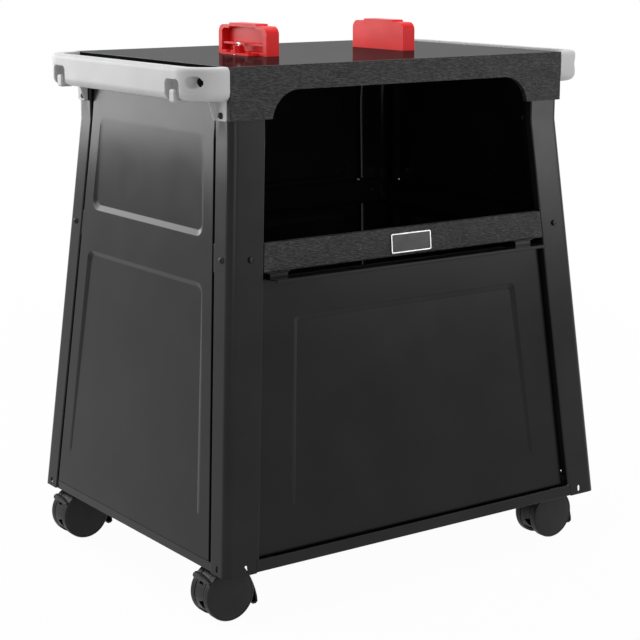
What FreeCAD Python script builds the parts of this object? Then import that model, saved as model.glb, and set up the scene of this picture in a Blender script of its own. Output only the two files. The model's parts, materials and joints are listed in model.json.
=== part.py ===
import FreeCAD, Part
import math
import os
from FreeCAD import Vector

# Overall sizes, in millimetres. The floor is z = 0, the front faces -Y.
TABLE_WIDTH = 590.0
TABLE_DEPTH = 436.0
TABLE_HEIGHT = 761.0
TABLE_SHEET = 2.0
SKIRT_HEIGHT = 40.0
FOOT_HEIGHT = 76.6
UPRIGHT_HEIGHT = 100.0
BEND_HEIGHT = TABLE_HEIGHT - UPRIGHT_HEIGHT
SPLAYED_HEIGHT = BEND_HEIGHT - FOOT_HEIGHT
SPLAY_X = 51.5
SPLAY_Y = 54.5
FRONT_TILT = math.degrees(math.atan(SPLAY_Y / SPLAYED_HEIGHT))
SIDE_TILT = math.degrees(math.atan(SPLAY_X / SPLAYED_HEIGHT))

# Clearances and cutting allowances
TOUCH = 0.05
FIT = 0.4
HOLE_FIT = 0.05
HINGE_FIT = 0.1
BOLT_FIT = 0.3
WHEEL_GAP = 1.2
SPARE = 1.0

# Corner posts
POST_SHEET = 1.6
FRONT_FLANGE = 55.0
SIDE_FLANGE = 39.5
POST_RETURN = 12.0
POST_FOLD = 12.0
RETURN_FOLD = 2.2
FOLD_SHARE = 0.7
POST_X = TABLE_WIDTH / 2 - TABLE_SHEET
POST_Y = TABLE_DEPTH / 2 - TABLE_SHEET
FOOT_X = POST_X + SPLAY_X
FOOT_Y = POST_Y + SPLAY_Y

# Belt of rail and braces
BELT_DROP = 177.0
BELT_LOW = BEND_HEIGHT - BELT_DROP
BELT_WIDTH = 40.5
BELT_HIGH = BELT_LOW + BELT_WIDTH
BELT_MIDDLE = BELT_LOW + BELT_WIDTH / 2
BELT_SPLAY = (BEND_HEIGHT - BELT_MIDDLE) / SPLAYED_HEIGHT
BELT_HIGH_SPLAY = (BEND_HEIGHT - BELT_HIGH) / SPLAYED_HEIGHT
BELT_SHEET = 1.5
BELT_RETURN = 14.0
BELT_FOLD = 2.5
BELT_NOTCH = 2.0
BELT_CORNER_GAP = 4.4
TAB_REACH = POST_X + SPLAY_X * BELT_HIGH_SPLAY - POST_SHEET - BELT_RETURN - BELT_CORNER_GAP
TAB_MARGIN = 6.0
TAB_OVERLAP = 16.0
BRACE_HALF = POST_Y + SPLAY_Y * BELT_HIGH_SPLAY - POST_FOLD - FIT
SCREW_INSET_X = 31.8
SCREW_INSET_Y = 21.6
BELT_SCREW_X = POST_X + SPLAY_X * BELT_SPLAY - SCREW_INSET_X
BELT_SCREW_Y = POST_Y + SPLAY_Y * BELT_SPLAY - SCREW_INSET_Y

# Bottom tray and rail
TRAY_SHEET = 1.5
TRAY_LIFT = 11.5
TRAY_FLOOR = FOOT_HEIGHT + TRAY_LIFT
TRAY_TOP = TRAY_FLOOR + TRAY_SHEET
TRAY_SPLAY = (BEND_HEIGHT - TRAY_TOP) / SPLAYED_HEIGHT
TRAY_FIT = 0.1
TRAY_HALF_X = POST_X + SPLAY_X * TRAY_SPLAY - POST_SHEET - TRAY_FIT
TRAY_HALF_Y = POST_Y + SPLAY_Y * TRAY_SPLAY - POST_SHEET - TRAY_FIT
SKIRT_END = 37.5
TRAY_SKIRT_Y = FOOT_Y - SKIRT_END
CORNER_CUT = (49.5, 16.5)
TRAY_CORNER_X = FOOT_X - CORNER_CUT[0]
TRAY_CORNER_Y = FOOT_Y - CORNER_CUT[1]
RAIL_FACE = (1.0, 17.6)
RAIL_LOW = FOOT_HEIGHT + RAIL_FACE[0]
RAIL_HIGH = FOOT_HEIGHT + RAIL_FACE[1]
RAIL_END = 51.5
RAIL_HALF = FOOT_X - RAIL_END
DRAIN_WIDTH = 5.0
DRAIN_HEIGHT = 9.5
DRAIN_INSET = (34.0, 23.5)
DRAIN_LIFT = 9.4
DRAIN_X = FOOT_X - DRAIN_INSET[0]
DRAIN_Y = FOOT_Y - DRAIN_INSET[1]
DRAIN_Z = FOOT_HEIGHT + DRAIN_LIFT

# Pressed panels
PANEL_SHEET = 1.2
PANEL_SETBACK = POST_SHEET - PANEL_SHEET
PANEL_GAP = 5.0
PANEL_RETURN = 12.0
PANEL_FOOT = TRAY_TOP + PANEL_RETURN * SPLAY_Y / SPLAYED_HEIGHT + FIT
PANEL_TOP_FLANGE = 15.0
PRESS_DEPTH = 4.0
PRESS_WALL = 9.0
PRESS_RADIUS = 16.0
PRESS_TIGHTEN = 0.6
PRESS_INSET = 24.0
PRESS_STEPS = ((0.0, 0.0), (0.17, 0.09), (0.83, 0.91), (1.0, 1.0))
UPPER_SPAN = (133.0, 11.0)
LOWER_SPAN = (54.4, 17.0)
UPPER_PRESS = (BEND_HEIGHT - UPPER_SPAN[0], BEND_HEIGHT + UPPER_SPAN[1])
LOWER_PRESS = (FOOT_HEIGHT + LOWER_SPAN[0], BELT_LOW - LOWER_SPAN[1])

# Fascia over the upper opening
FASCIA_HEIGHT = 71.5
FASCIA_FOOT = TABLE_HEIGHT - FASCIA_HEIGHT
FASCIA_RETURN = 8.0
FASCIA_FOLD = 1.8
FASCIA_TOP_RETURN = 15.0
ARCH_RADIUS = 44.0
ARCH_DROP = 33.5
ARCH_INSET = 67.0
ARCH_TOP = TABLE_HEIGHT - ARCH_DROP
ARCH_HALF = TABLE_WIDTH / 2 - ARCH_INSET

# Door
DOOR_SETBACK = 10.0
DOOR_SHEET = 1.2
DOOR_LIFT = 18.6
DOOR_HEAD_GAP = 9.0
DOOR_FOOT = FOOT_HEIGHT + DOOR_LIFT
DOOR_TOP = BELT_LOW - DOOR_HEAD_GAP
DOOR_SIDE_GAP = 3.0
DOOR_RETURN = 12.0
DOOR_SPAN = (49.8, 54.0)
DOOR_PRESS = (DOOR_FOOT + DOOR_SPAN[0], DOOR_TOP - DOOR_SPAN[1])
DOOR_PRESS_INSET = 54.0
DOOR_PRESS_RADIUS = 9.0
LIP_INSET = 10.0
LIP_REACH = 28.3
LIP_HEM = 4.5
HINGE_LIFT = 6.5
HINGE_HEIGHT = DOOR_FOOT + HINGE_LIFT
HINGE_DEPTH = 16.0
HINGE_RADIUS = 3.0
HINGE_SHEET = 1.6
HINGE_SIDE_GAP = 0.7
HINGE_HEAD = 4.4
HINGE_HEAD_LENGTH = 1.6
HINGE_EAR_HALF = 8.0
HINGE_FOOT_LENGTH = 28.0
CATCH_INSET = 22.0
CATCH_WIDTH = 38.0
CATCH_DEPTH = 12.0
CATCH_THICK = 2.5
STRIKE_WIDTH = 30.0
STRIKE_DEPTH = 8.0

# Badge, left blank
BADGE_WIDTH = 72.0
BADGE_HEIGHT = 28.0
BADGE_RADIUS = 2.5
BADGE_RIM = 1.8
BADGE_THICK = 1.8
BADGE_FACE = 1.1
BADGE_DROP = 1.75
BADGE_Z = BELT_MIDDLE - BADGE_DROP

# Side handles
GRIP_HEIGHT = 45.0
GRIP_REACH = 56.0
GRIP_OUTER_X = TABLE_WIDTH / 2 + GRIP_REACH
GRIP_LOW = TABLE_HEIGHT - GRIP_HEIGHT
GRIP_THICK = 17.0
GRIP_RADIUS = 48.0
GRIP_FRONT_Y = TABLE_DEPTH / 2
GRIP_TOP_ROUND = 6.0
GRIP_LOW_ROUND = 11.0
NOTCH_SETBACK = 56.5
NOTCH_Y = GRIP_FRONT_Y - NOTCH_SETBACK
NOTCH_WIDTH = 35.0
NOTCH_HEIGHT = 29.0
NOTCH_DEPTH = 14.0
NOTCH_ROUND = 8.0
HOOK_WIDTH = 11.0
HOOK_THICK = 4.0
HOOK_DROP = 2.0
HOOK_ROOT = 2.0
HOOK_RISE = 15.5
HOOK_TIP = GRIP_LOW + HOOK_RISE
SLOT_LENGTH = 19.0
SLOT_HEIGHT = 16.4
SLOT_REACH = 36.0
SLOT_INSET = 19.0
SLOT_RAISE = 25.4
PAD_THICK = 3.0
PAD_ROUND = 4.5
PAD_FRONT = TABLE_DEPTH / 2 - FASCIA_RETURN - FIT
PAD_LENGTH = 25.0
PAD_DROP = 27.3
PAD_SCREW = (15.3, 20.0)
PAD_REAR = PAD_FRONT - PAD_LENGTH
PAD_FOOT = GRIP_LOW - PAD_DROP
PAD_SCREW_Y = PAD_FRONT - PAD_SCREW[0]
PAD_SCREW_Z = GRIP_LOW - PAD_SCREW[1]
FLANGE_SHEET = 2.4
FLANGE_FOOT = 3.5
FLANGE_REACH = 12.5
BRACKET_ROOF = 2.0

# Red locators on the table
LOCATOR_INNER = 113.0
LOCATOR_THICK = 22.0
LOCATOR_HALF = 64.0
LOCATOR_END_HEIGHT = 42.0
LOCATOR_RAISE = 3.0
LOCATOR_RAMP = 2.0
LOCATOR_CROWN_HALF = 34.0
LOCATOR_ROUND = 12.0
LOCATOR_RIM = 5.0
LOCATOR_CHEEK = 9.0
LOCATOR_HOLLOW = 11.0
LOCATOR_RIB = 3.0
LOCATOR_RIB_Z = 14.0
RIB_SETBACK = 2.0
FOOT_REACH = 14.0
FOOT_HALF = 42.0
FOOT_THICK = 3.0
BOSS_REACH = 30.0
BOSS_X = LOCATOR_INNER + BOSS_REACH
BOSS_RADIUS = 6.0
BOSS_HEIGHT = 13.0
BOSS_WEB_DROP = 1.0
SMALL_BOSS_X = BOSS_X - BOSS_WEB_DROP
SMALL_BOSS_Y = 28.0
SMALL_BOSS_RADIUS = 4.0
SMALL_BOSS_HEIGHT = 6.0

# Screws and bolts
SCREW_RADIUS = 2.0
SCREW_HEAD = 4.6
LOCATOR_HEAD = 5.4
SCREW_DOME = 2.4
SCREW_LENGTH = 9.0
TALL_DOME = 3.84
CROWN_SHARE = 0.4
SHOULDER_SHARE = (0.78, 0.66)
BOLT_RADIUS = 3.0
BOLT_HEAD = 5.5
BOLT_HEAD_HEIGHT = 3.5
BOLT_CHAMFER = 1.2
BOLT_LENGTH = 9.5
NUT_RADIUS = 5.5
NUT_HEIGHT = 4.0

# Twin-wheel casters. Outlines run around the axle as (forward, up), drawn for one wheel size.
CASTER_INSET = (43.0, 58.5)
CASTER_X = FOOT_X - CASTER_INSET[0]
CASTER_Y = FOOT_Y - CASTER_INSET[1]
CASTER_TRAIL = 12.0
DRAWN_RADIUS = 37.5
WHEEL_RADIUS = FOOT_HEIGHT / 2
CASTER_SCALE = WHEEL_RADIUS / DRAWN_RADIUS
WHEEL_OUTER = 25.0
WHEEL_HUB = 12.0
WHEEL_CAVITY = 6.0
WHEEL_RIM = 5.0
RIM_LAND = 1.0
TREAD_ROUND = 4.5
FACE_RIM = ((1.0, 2.3), (3.2, 1.3))
FACE_RING = (3.7, 1.7)
FACE_DISH = 0.4
SPINE_HALF = 10.6
SPINE_DROP = 0.5
SPINE_RADIUS = WHEEL_RADIUS - SPINE_DROP
SPINE_RIM = 2.6
SPINE_WEB = 2.5
SPINE_BOSS = 9.0
FACE_RECESS = ((-SPINE_HALF, -4.0), (3.0, -8.5), (-3.5, -15.5), (-SPINE_HALF, -18.0))
RECESS_REACH = (-42.0, -24.0)
HOOD_START = 212.0
HOOD_HEAD = 84.0
HOOD_TAIL = ((26.0, 35.0), (40.5, 12.0), (50.5, -18.0), (51.0, -24.0))
HOOD_FOOT = ((48.0, -26.5), (43.0, -26.5), (33.0, -14.0), (9.0, -12.0), (-9.0, -12.0))
AXLE_RADIUS = 4.0
AXLE_HALF = 19.0
PLATE_SIZE = 60.0
PLATE_THICK = 2.5
PLATE_BOLT = 23.0
RACE_RADIUS = 19.0
RACE_DEPTH = 2.5
COLLAR_RADIUS = 17.0
COLLAR_HEIGHT = 2.6
KINGPIN_RADIUS = 5.5
KINGPIN_LENGTH = 32.0
KINGPIN_FOOT = TRAY_FLOOR - KINGPIN_LENGTH
KINGPIN_CAP = 4.0
LEVER_HALF = 21.0
LEVER_PIVOT = (-26.0 * CASTER_SCALE, 15.0 * CASTER_SCALE)
PEDAL = ((-34.2, 22.8), (-33.4, 26.0), (-29.5, 27.9), (-26.8, 27.6), (-30.8, 21.2), (-33.2, 20.2))
PEDAL_TAPER = ((-24.0, 23.6), (-24.0, 34.0), (6.0, 34.0), (6.0, 28.2))
TAPER_REACH = (-42.0, -20.0)
TONGUE_ROOT = 4.0
TONGUE_TIP = ((-32.6, 21.2), (-28.5, 26.0))
SLOT_WAY = ((6.0, -1.0), (5.8, 0.8), (-0.9, 12.0), (-0.9, 20.0), (-30.0, 20.0), (-9.5, 3.2), (-4.5, -1.9))
LEVER_TONGUE = 4.0
LEVER_EYE = 5.0
LEVER_PIN = 1.5
LEVER_PIN_HALF = 8.0
LEVER_CLEAR = 0.8


def box(x0, x1, y0, y1, z0, z1):
    """A box between two corners."""
    return Part.makeBox(x1 - x0, y1 - y0, z1 - z0, Vector(x0, y0, z0))


def rod(radius, start, end):
    """A round bar from one point to another."""
    span = Vector(*end) - Vector(*start)
    return Part.makeCylinder(radius, span.Length, Vector(*start), span)


def joined(shapes):
    """One solid from overlapping or touching solids."""
    return shapes[0].multiFuse(shapes[1:]).removeSplitter()


def prism(points, lift):
    """A straight-sided solid on a closed outline of points."""
    corners = [Vector(*point) for point in points]
    return Part.Face(Part.makePolygon(corners + corners[:1])).extrude(Vector(*lift))


def mirrored_x(shape):
    """The same shape on the other side of the cart."""
    return shape.mirror(Vector(0, 0, 0), Vector(1, 0, 0))


def mirrored_y(shape):
    """The same shape at the other end of the cart."""
    return shape.mirror(Vector(0, 0, 0), Vector(0, 1, 0))


def splay(height):
    """How far down the splayed length a height lies, from 0 to 1."""
    return max(0.0, (BEND_HEIGHT - height) / SPLAYED_HEIGHT)


def flange_edge_x(height):
    """Inner edge of the front flange of a post."""
    return POST_X - FRONT_FLANGE + SPLAY_X * splay(height)


def flange_edge_y(height):
    """Inner edge of the side flange of a post."""
    return POST_Y - SIDE_FLANGE + SPLAY_Y * splay(height)


def inset(points, margins):
    """An outline with each edge moved inwards by its own margin."""
    count = len(points)
    lines = []
    for index in range(count):
        (x0, z0), (x1, z1) = points[index], points[(index + 1) % count]
        length = math.hypot(x1 - x0, z1 - z0)
        normal = (-(z1 - z0) / length, (x1 - x0) / length)
        level = normal[0] * x0 + normal[1] * z0 + margins[index]
        lines.append((normal[0], normal[1], level))
    result = []
    for index in range(count):
        a0, b0, c0 = lines[index - 1]
        a1, b1, c1 = lines[index]
        scale = a0 * b1 - a1 * b0
        result.append(((c0 * b1 - c1 * b0) / scale, (a0 * c1 - a1 * c0) / scale))
    return result


def rounded_wire(points, radius, depth):
    """A closed outline in the face plane with rounded corners, at one depth."""
    count = len(points)
    corners = []
    for index in range(count):
        here = Vector(points[index][0], depth, points[index][1])
        before = Vector(points[index - 1][0], depth, points[index - 1][1])
        after = Vector(points[(index + 1) % count][0], depth, points[(index + 1) % count][1])
        back = (before - here).normalize()
        ahead = (after - here).normalize()
        half = back.getAngle(ahead) / 2
        reach = radius / math.tan(half)
        middle = here + (back + ahead).normalize() * (radius / math.sin(half) - radius)
        corners.append((here + back * reach, middle, here + ahead * reach))
    edges = []
    for index in range(count):
        edges.append(Part.Arc(*corners[index]).toShape())
        edges.append(Part.makeLine(corners[index][2], corners[(index + 1) % count][0]))
    return Part.Wire(edges)


def rounded_plate(points, radius, depth, thick):
    """A plate in the face plane with rounded corners."""
    return Part.Face(rounded_wire(points, radius, depth)).extrude(Vector(0, thick, 0))


def pressing(points, radius, depth):
    """The soft-edged hollow of a pressed field."""
    sections = []
    for share_in, share_deep in PRESS_STEPS:
        margin = PRESS_WALL * share_in
        outline = inset(points, [margin] * len(points))
        corner = radius - margin * radius / PRESS_RADIUS * PRESS_TIGHTEN
        sections.append(rounded_wire(outline, corner, depth + PRESS_DEPTH * share_deep))
    return Part.makeLoft(sections, True, True)


def slope_up(height, tilt):
    """Distance along a tilted face from the bend to a height."""
    return (height - BEND_HEIGHT) / math.cos(math.radians(tilt))


def on_face(shape, side):
    """Moves a shape built in the face plane on to a side of the splayed body."""
    turn = {"front": 0, "rear": 180, "left": -90, "right": 90}[side]
    across = side in ("left", "right")
    placed = shape.copy()
    placed.rotate(Vector(0, 0, 0), Vector(1, 0, 0), -(SIDE_TILT if across else FRONT_TILT))
    placed.translate(Vector(0, -(POST_X if across else POST_Y), BEND_HEIGHT))
    placed.rotate(Vector(0, 0, 0), Vector(0, 0, 1), turn)
    return placed


def face_hole(across, height, tilt, radius):
    """A drill through the sheets at a point of a face."""
    level = slope_up(height, tilt)
    return rod(radius, (across, -POST_FOLD, level), (across, POST_FOLD, level))


def dome_screw(radius, head, dome, length):
    """A dome-headed screw along +Y with its head below y = 0."""
    crown = radius * CROWN_SHARE
    profile = [Part.makeLine(Vector(crown, -dome, 0), Vector(0, -dome, 0)),
               Part.makeLine(Vector(0, -dome, 0), Vector(0, length, 0)),
               Part.makeLine(Vector(0, length, 0), Vector(radius, length, 0)),
               Part.makeLine(Vector(radius, length, 0), Vector(radius, 0, 0)),
               Part.makeLine(Vector(radius, 0, 0), Vector(head, 0, 0)),
               Part.Arc(Vector(head, 0, 0), Vector(head * SHOULDER_SHARE[0], -dome * SHOULDER_SHARE[1], 0),
                        Vector(crown, -dome, 0)).toShape()]
    return Part.Face(Part.Wire(profile)).revolve(Vector(0, 0, 0), Vector(0, 1, 0), 360)


# Table
def table_top():
    half_x, half_y = TABLE_WIDTH / 2, TABLE_DEPTH / 2
    under = TABLE_HEIGHT - TABLE_SHEET
    low = TABLE_HEIGHT - SKIRT_HEIGHT
    front = -half_y + FASCIA_RETURN + FIT
    sheet = box(-half_x, half_x, -POST_Y, half_y, under, TABLE_HEIGHT)
    sheet = sheet.cut(box(-half_x, -POST_X, -POST_Y, front, under, TABLE_HEIGHT))
    sheet = sheet.cut(box(POST_X, half_x, -POST_Y, front, under, TABLE_HEIGHT))
    left = box(-half_x, -POST_X, front, half_y, low, under)
    rear = box(-half_x, half_x, POST_Y, half_y, low, under)
    top = joined([sheet, left, mirrored_x(left), rear])
    for x in (-BOSS_X, BOSS_X):
        top = top.cut(rod(SCREW_RADIUS + HOLE_FIT, (x, 0, low), (x, 0, TABLE_HEIGHT)))
    return top


def arch_area(extra):
    """The opening under the arch, grown by an extra margin."""
    radius = ARCH_RADIUS + extra
    centre_x = ARCH_HALF - ARCH_RADIUS
    centre_z = ARCH_TOP - ARCH_RADIUS
    low = centre_z - ARCH_RADIUS
    slim = box(-centre_x, centre_x, -SPARE, SPARE, low, ARCH_TOP + extra)
    wide = box(-ARCH_HALF - extra, ARCH_HALF + extra, -SPARE, SPARE, low, centre_z)
    left = rod(radius, (-centre_x, -SPARE, centre_z), (-centre_x, SPARE, centre_z))
    return joined([slim, wide, left, mirrored_x(left)])


def front_fascia():
    half_x, front = TABLE_WIDTH / 2, -TABLE_DEPTH / 2
    inner = front + TABLE_SHEET
    plate = box(-half_x, half_x, front, inner, FASCIA_FOOT, TABLE_HEIGHT)
    folds = [edge for edge in plate.Edges if edge.BoundBox.ZLength > FASCIA_RETURN
             and edge.BoundBox.YMax < front + FIT]
    plate = plate.makeFillet(FASCIA_FOLD, folds)
    lip = box(-ARCH_HALF - TABLE_SHEET, ARCH_HALF + TABLE_SHEET, inner, front + FASCIA_RETURN,
              FASCIA_FOOT, ARCH_TOP + TABLE_SHEET)
    stretch = FreeCAD.Matrix()
    stretch.scale(1, (FASCIA_RETURN + SPARE) / SPARE, 1)
    rim = arch_area(TABLE_SHEET).transformGeometry(stretch)
    rim.translate(Vector(0, front, 0))
    opening = arch_area(0).transformGeometry(stretch)
    opening.translate(Vector(0, front, 0))
    lip = lip.common(rim)
    under = TABLE_HEIGHT - TABLE_SHEET
    shelf = box(-POST_X, POST_X, inner, front + FASCIA_TOP_RETURN, under - TABLE_SHEET, under)
    end = box(-half_x, -POST_X, inner, front + FASCIA_RETURN, FASCIA_FOOT, TABLE_HEIGHT)
    return joined([plate, lip, shelf, end, mirrored_x(end)]).cut(opening)


# Corner posts
def post_prism(outline, high, low):
    """A solid that follows the splayed corner between two heights."""
    shift = Vector(-SPLAY_X, -SPLAY_Y, -SPLAYED_HEIGHT)
    start = outline.copy()
    start.translate(shift * ((BEND_HEIGHT - high) / SPLAYED_HEIGHT))
    return start.extrude(shift * ((high - low) / SPLAYED_HEIGHT))


def corner_face(points):
    """A flat outline in a corner's own coordinates, at the bend."""
    corners = [Vector(-POST_X + a, -POST_Y + b, BEND_HEIGHT) for a, b in points]
    return Part.Face(Part.makePolygon(corners + corners[:1]))


def post_outline():
    """The folded section of a post: two flanges, a round fold and two returns."""
    def at(a, b):
        return Vector(-POST_X + a, -POST_Y + b, BEND_HEIGHT)
    sheet, inner_fold = POST_SHEET, POST_FOLD - POST_SHEET
    middle_out = POST_FOLD * (1 - math.sqrt(0.5))
    middle_in = POST_FOLD - inner_fold * math.sqrt(0.5)
    turn = RETURN_FOLD * (1 - math.sqrt(0.5))
    side_end, front_end = SIDE_FLANGE - RETURN_FOLD, FRONT_FLANGE - RETURN_FOLD
    side = [at(RETURN_FOLD, SIDE_FLANGE), at(POST_RETURN, SIDE_FLANGE),
            at(POST_RETURN, SIDE_FLANGE - sheet), at(sheet, SIDE_FLANGE - sheet),
            at(sheet, POST_FOLD)]
    front = [at(POST_FOLD, sheet), at(FRONT_FLANGE - sheet, sheet),
             at(FRONT_FLANGE - sheet, POST_RETURN), at(FRONT_FLANGE, POST_RETURN),
             at(FRONT_FLANGE, RETURN_FOLD)]
    edges = [Part.makeLine(at(0, POST_FOLD), at(0, side_end))]
    edges.append(Part.Arc(at(0, side_end), at(turn, SIDE_FLANGE - turn), side[0]).toShape())
    edges += [Part.makeLine(side[i], side[i + 1]) for i in range(len(side) - 1)]
    edges.append(Part.Arc(side[-1], at(middle_in, middle_in), front[0]).toShape())
    edges += [Part.makeLine(front[i], front[i + 1]) for i in range(len(front) - 1)]
    edges.append(Part.Arc(front[-1], at(FRONT_FLANGE - turn, turn), at(front_end, 0)).toShape())
    edges.append(Part.makeLine(at(front_end, 0), at(POST_FOLD, 0)))
    edges.append(Part.Arc(at(POST_FOLD, 0), at(middle_out, middle_out), at(0, POST_FOLD)).toShape())
    return Part.Face(Part.Wire(edges))


def drain(across, depth_from, depth_to, tilt):
    """An upright slot through a post flange near the floor."""
    level = slope_up(DRAIN_Z, tilt)
    half, run = DRAIN_WIDTH / 2, (DRAIN_HEIGHT - DRAIN_WIDTH) / 2
    middle = box(across - half, across + half, depth_from, depth_to, level - run, level + run)
    low = rod(half, (across, depth_from, level - run), (across, depth_to, level - run))
    high = rod(half, (across, depth_from, level + run), (across, depth_to, level + run))
    return joined([middle, low, high])


def corner_post(top, with_rail):
    """The front left post, or the rear left one before it is mirrored."""
    section = post_outline()
    upright = section.extrude(Vector(0, 0, top - BEND_HEIGHT))
    post = joined([upright, post_prism(section, BEND_HEIGHT, FOOT_HEIGHT)])
    deep, hole = POST_RETURN + SPARE, SCREW_RADIUS + HOLE_FIT
    side_from, side_to = SIDE_FLANGE - POST_SHEET - SPARE, SIDE_FLANGE + SPARE
    front_from, front_to = FRONT_FLANGE - POST_SHEET - SPARE, FRONT_FLANGE + SPARE
    returns = (corner_face([(POST_SHEET, side_from), (deep, side_from), (deep, side_to),
                            (POST_SHEET, side_to)]),
               corner_face([(front_from, POST_SHEET), (front_to, POST_SHEET), (front_to, deep),
                            (front_from, deep)]))
    for outline in returns:
        post = post.cut(post_prism(outline, BELT_HIGH + BELT_NOTCH, BELT_LOW - BELT_NOTCH))
        post = post.cut(post_prism(outline, PANEL_FOOT + SPARE, FOOT_HEIGHT - SPARE))
    post = post.cut(on_face(face_hole(-BELT_SCREW_X, BELT_MIDDLE, FRONT_TILT, hole), "front"))
    post = post.cut(on_face(face_hole(BELT_SCREW_Y, BELT_MIDDLE, SIDE_TILT, hole), "left"))
    post = post.cut(on_face(drain(-DRAIN_X, -POST_RETURN, POST_FOLD, FRONT_TILT), "front"))
    post = post.cut(on_face(drain(DRAIN_Y, -POST_RETURN, POST_FOLD, SIDE_TILT), "left"))
    post = post.cut(rod(hole, (-POST_X - SPARE, -PAD_SCREW_Y, PAD_SCREW_Z),
                        (-POST_X + POST_SHEET + SPARE, -PAD_SCREW_Y, PAD_SCREW_Z)))
    if with_rail:
        post = post.cut(box(-RAIL_HALF - FIT, 0, -FOOT_Y - SPARE, 0, FOOT_HEIGHT - SPARE, RAIL_HIGH + FIT))
    return post


# Pressed panels of the body
def folded_panel(outline, setback, sheet, depth):
    """A sheet with its slanted edges folded inwards. Its outline starts with the foot's two corners."""
    count = len(outline)
    margins = [-SPARE] + [sheet] * (count - 1)
    margins[count // 2] = -SPARE
    body = prism([(x, setback, z) for x, z in outline], (0, depth, 0))
    folds = [edge for edge in body.Edges if edge.BoundBox.YMax < setback + TOUCH
             and edge.BoundBox.ZLength > sheet]
    body = body.makeFillet(sheet * FOLD_SHARE, folds)
    hollow = [(x, setback + sheet, z) for x, z in inset(outline, margins)]
    return body.cut(prism(hollow, (0, depth, 0)))


def press_field(panel, outline, radius, setback, sheet):
    """A panel with one field pressed inwards."""
    back = pressing(outline, radius, setback + sheet)
    return panel.fuse(back).cut(pressing(outline, radius, setback)).removeSplitter()


def tilted_outline(half_at, low, high, tilt):
    """The outline of a splayed panel, with corners at the bend when it passes it."""
    levels = [low, BEND_HEIGHT, high] if low < BEND_HEIGHT < high else [low, high]
    right = [(half_at(level), slope_up(level, tilt)) for level in levels]
    left = [(-half, level) for half, level in reversed(right)]
    return [left[-1]] + right + left[:-1]


def body_panel(edge_at, tilt):
    """A side or rear panel in its face plane."""
    def half_at(height):
        return edge_at(height) - PANEL_GAP

    def field_at(height):
        return half_at(height) - PRESS_INSET
    outline = tilted_outline(half_at, PANEL_FOOT, TABLE_HEIGHT, tilt)
    panel = folded_panel(outline, PANEL_SETBACK, PANEL_SHEET, PANEL_RETURN)
    for low, high in (UPPER_PRESS, LOWER_PRESS):
        field = tilted_outline(field_at, low, high, tilt)
        panel = press_field(panel, field, PRESS_RADIUS, PANEL_SETBACK, PANEL_SHEET)
    low, high = slope_up(BELT_LOW, tilt) - FIT, slope_up(BELT_HIGH, tilt) + FIT
    notch = box(-TABLE_WIDTH, TABLE_WIDTH, POST_SHEET, PANEL_RETURN + SPARE, low, high)
    return panel.cut(notch)


def finish_panel(panel, half, distance, tilt, side):
    """A placed panel, cut level at the table and given its top flange."""
    under = TABLE_HEIGHT - TABLE_SHEET
    rise = (under - BEND_HEIGHT) * math.tan(math.radians(tilt))
    start = -distance + rise + PANEL_SETBACK
    flange = box(-half, half, start, start + PANEL_TOP_FLANGE, under - PANEL_SHEET, under)
    turn = {"rear": 180, "left": -90}[side]
    flange.rotate(Vector(0, 0, 0), Vector(0, 0, 1), turn)
    placed = on_face(panel, side)
    above = box(-TABLE_WIDTH, TABLE_WIDTH, -TABLE_WIDTH, TABLE_WIDTH, under, TABLE_HEIGHT + SKIRT_HEIGHT)
    return joined([placed.cut(above), flange])


def side_panel():
    panel = body_panel(flange_edge_y, SIDE_TILT)
    half = flange_edge_y(BEND_HEIGHT) - PANEL_GAP
    return finish_panel(panel, half, POST_X, SIDE_TILT, "left")


def rear_panel():
    panel = body_panel(flange_edge_x, FRONT_TILT)
    half = flange_edge_x(BEND_HEIGHT) - PANEL_GAP
    return finish_panel(panel, half, POST_Y, FRONT_TILT, "rear")


# Belt
def belt_channel(depth, half_low, half_high, tilt):
    """A folded channel across a face, open to the inside."""
    low, high = slope_up(BELT_LOW, tilt), slope_up(BELT_HIGH, tilt)
    fold, sheet = BELT_FOLD, BELT_SHEET
    back = depth + BELT_RETURN
    corner = fold * (1 - math.sqrt(0.5))
    inner_corner = fold - (fold - sheet) * math.sqrt(0.5)

    def at(deep, level):
        return Vector(-half_low, deep, level)
    edges = [
        Part.makeLine(at(back, low), at(depth + fold, low)),
        Part.Arc(at(depth + fold, low), at(depth + corner, low + corner), at(depth, low + fold)).toShape(),
        Part.makeLine(at(depth, low + fold), at(depth, high - fold)),
        Part.Arc(at(depth, high - fold), at(depth + corner, high - corner),
                 at(depth + fold, high)).toShape(),
        Part.makeLine(at(depth + fold, high), at(back, high)),
        Part.makeLine(at(back, high), at(back, high - sheet)),
        Part.makeLine(at(back, high - sheet), at(depth + fold, high - sheet)),
        Part.Arc(at(depth + fold, high - sheet), at(depth + inner_corner, high - inner_corner),
                 at(depth + sheet, high - fold)).toShape(),
        Part.makeLine(at(depth + sheet, high - fold), at(depth + sheet, low + fold)),
        Part.Arc(at(depth + sheet, low + fold), at(depth + inner_corner, low + inner_corner),
                 at(depth + fold, low + sheet)).toShape(),
        Part.makeLine(at(depth + fold, low + sheet), at(back, low + sheet)),
        Part.makeLine(at(back, low + sheet), at(back, low))]
    bar = Part.Face(Part.Wire(edges)).extrude(Vector(2 * half_low, 0, 0))
    ends = prism([(-half_low, -SPARE, low), (half_low, -SPARE, low), (half_high, -SPARE, high),
                  (-half_high, -SPARE, high)], (0, back + 2 * SPARE, 0))
    return bar.common(ends)


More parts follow.
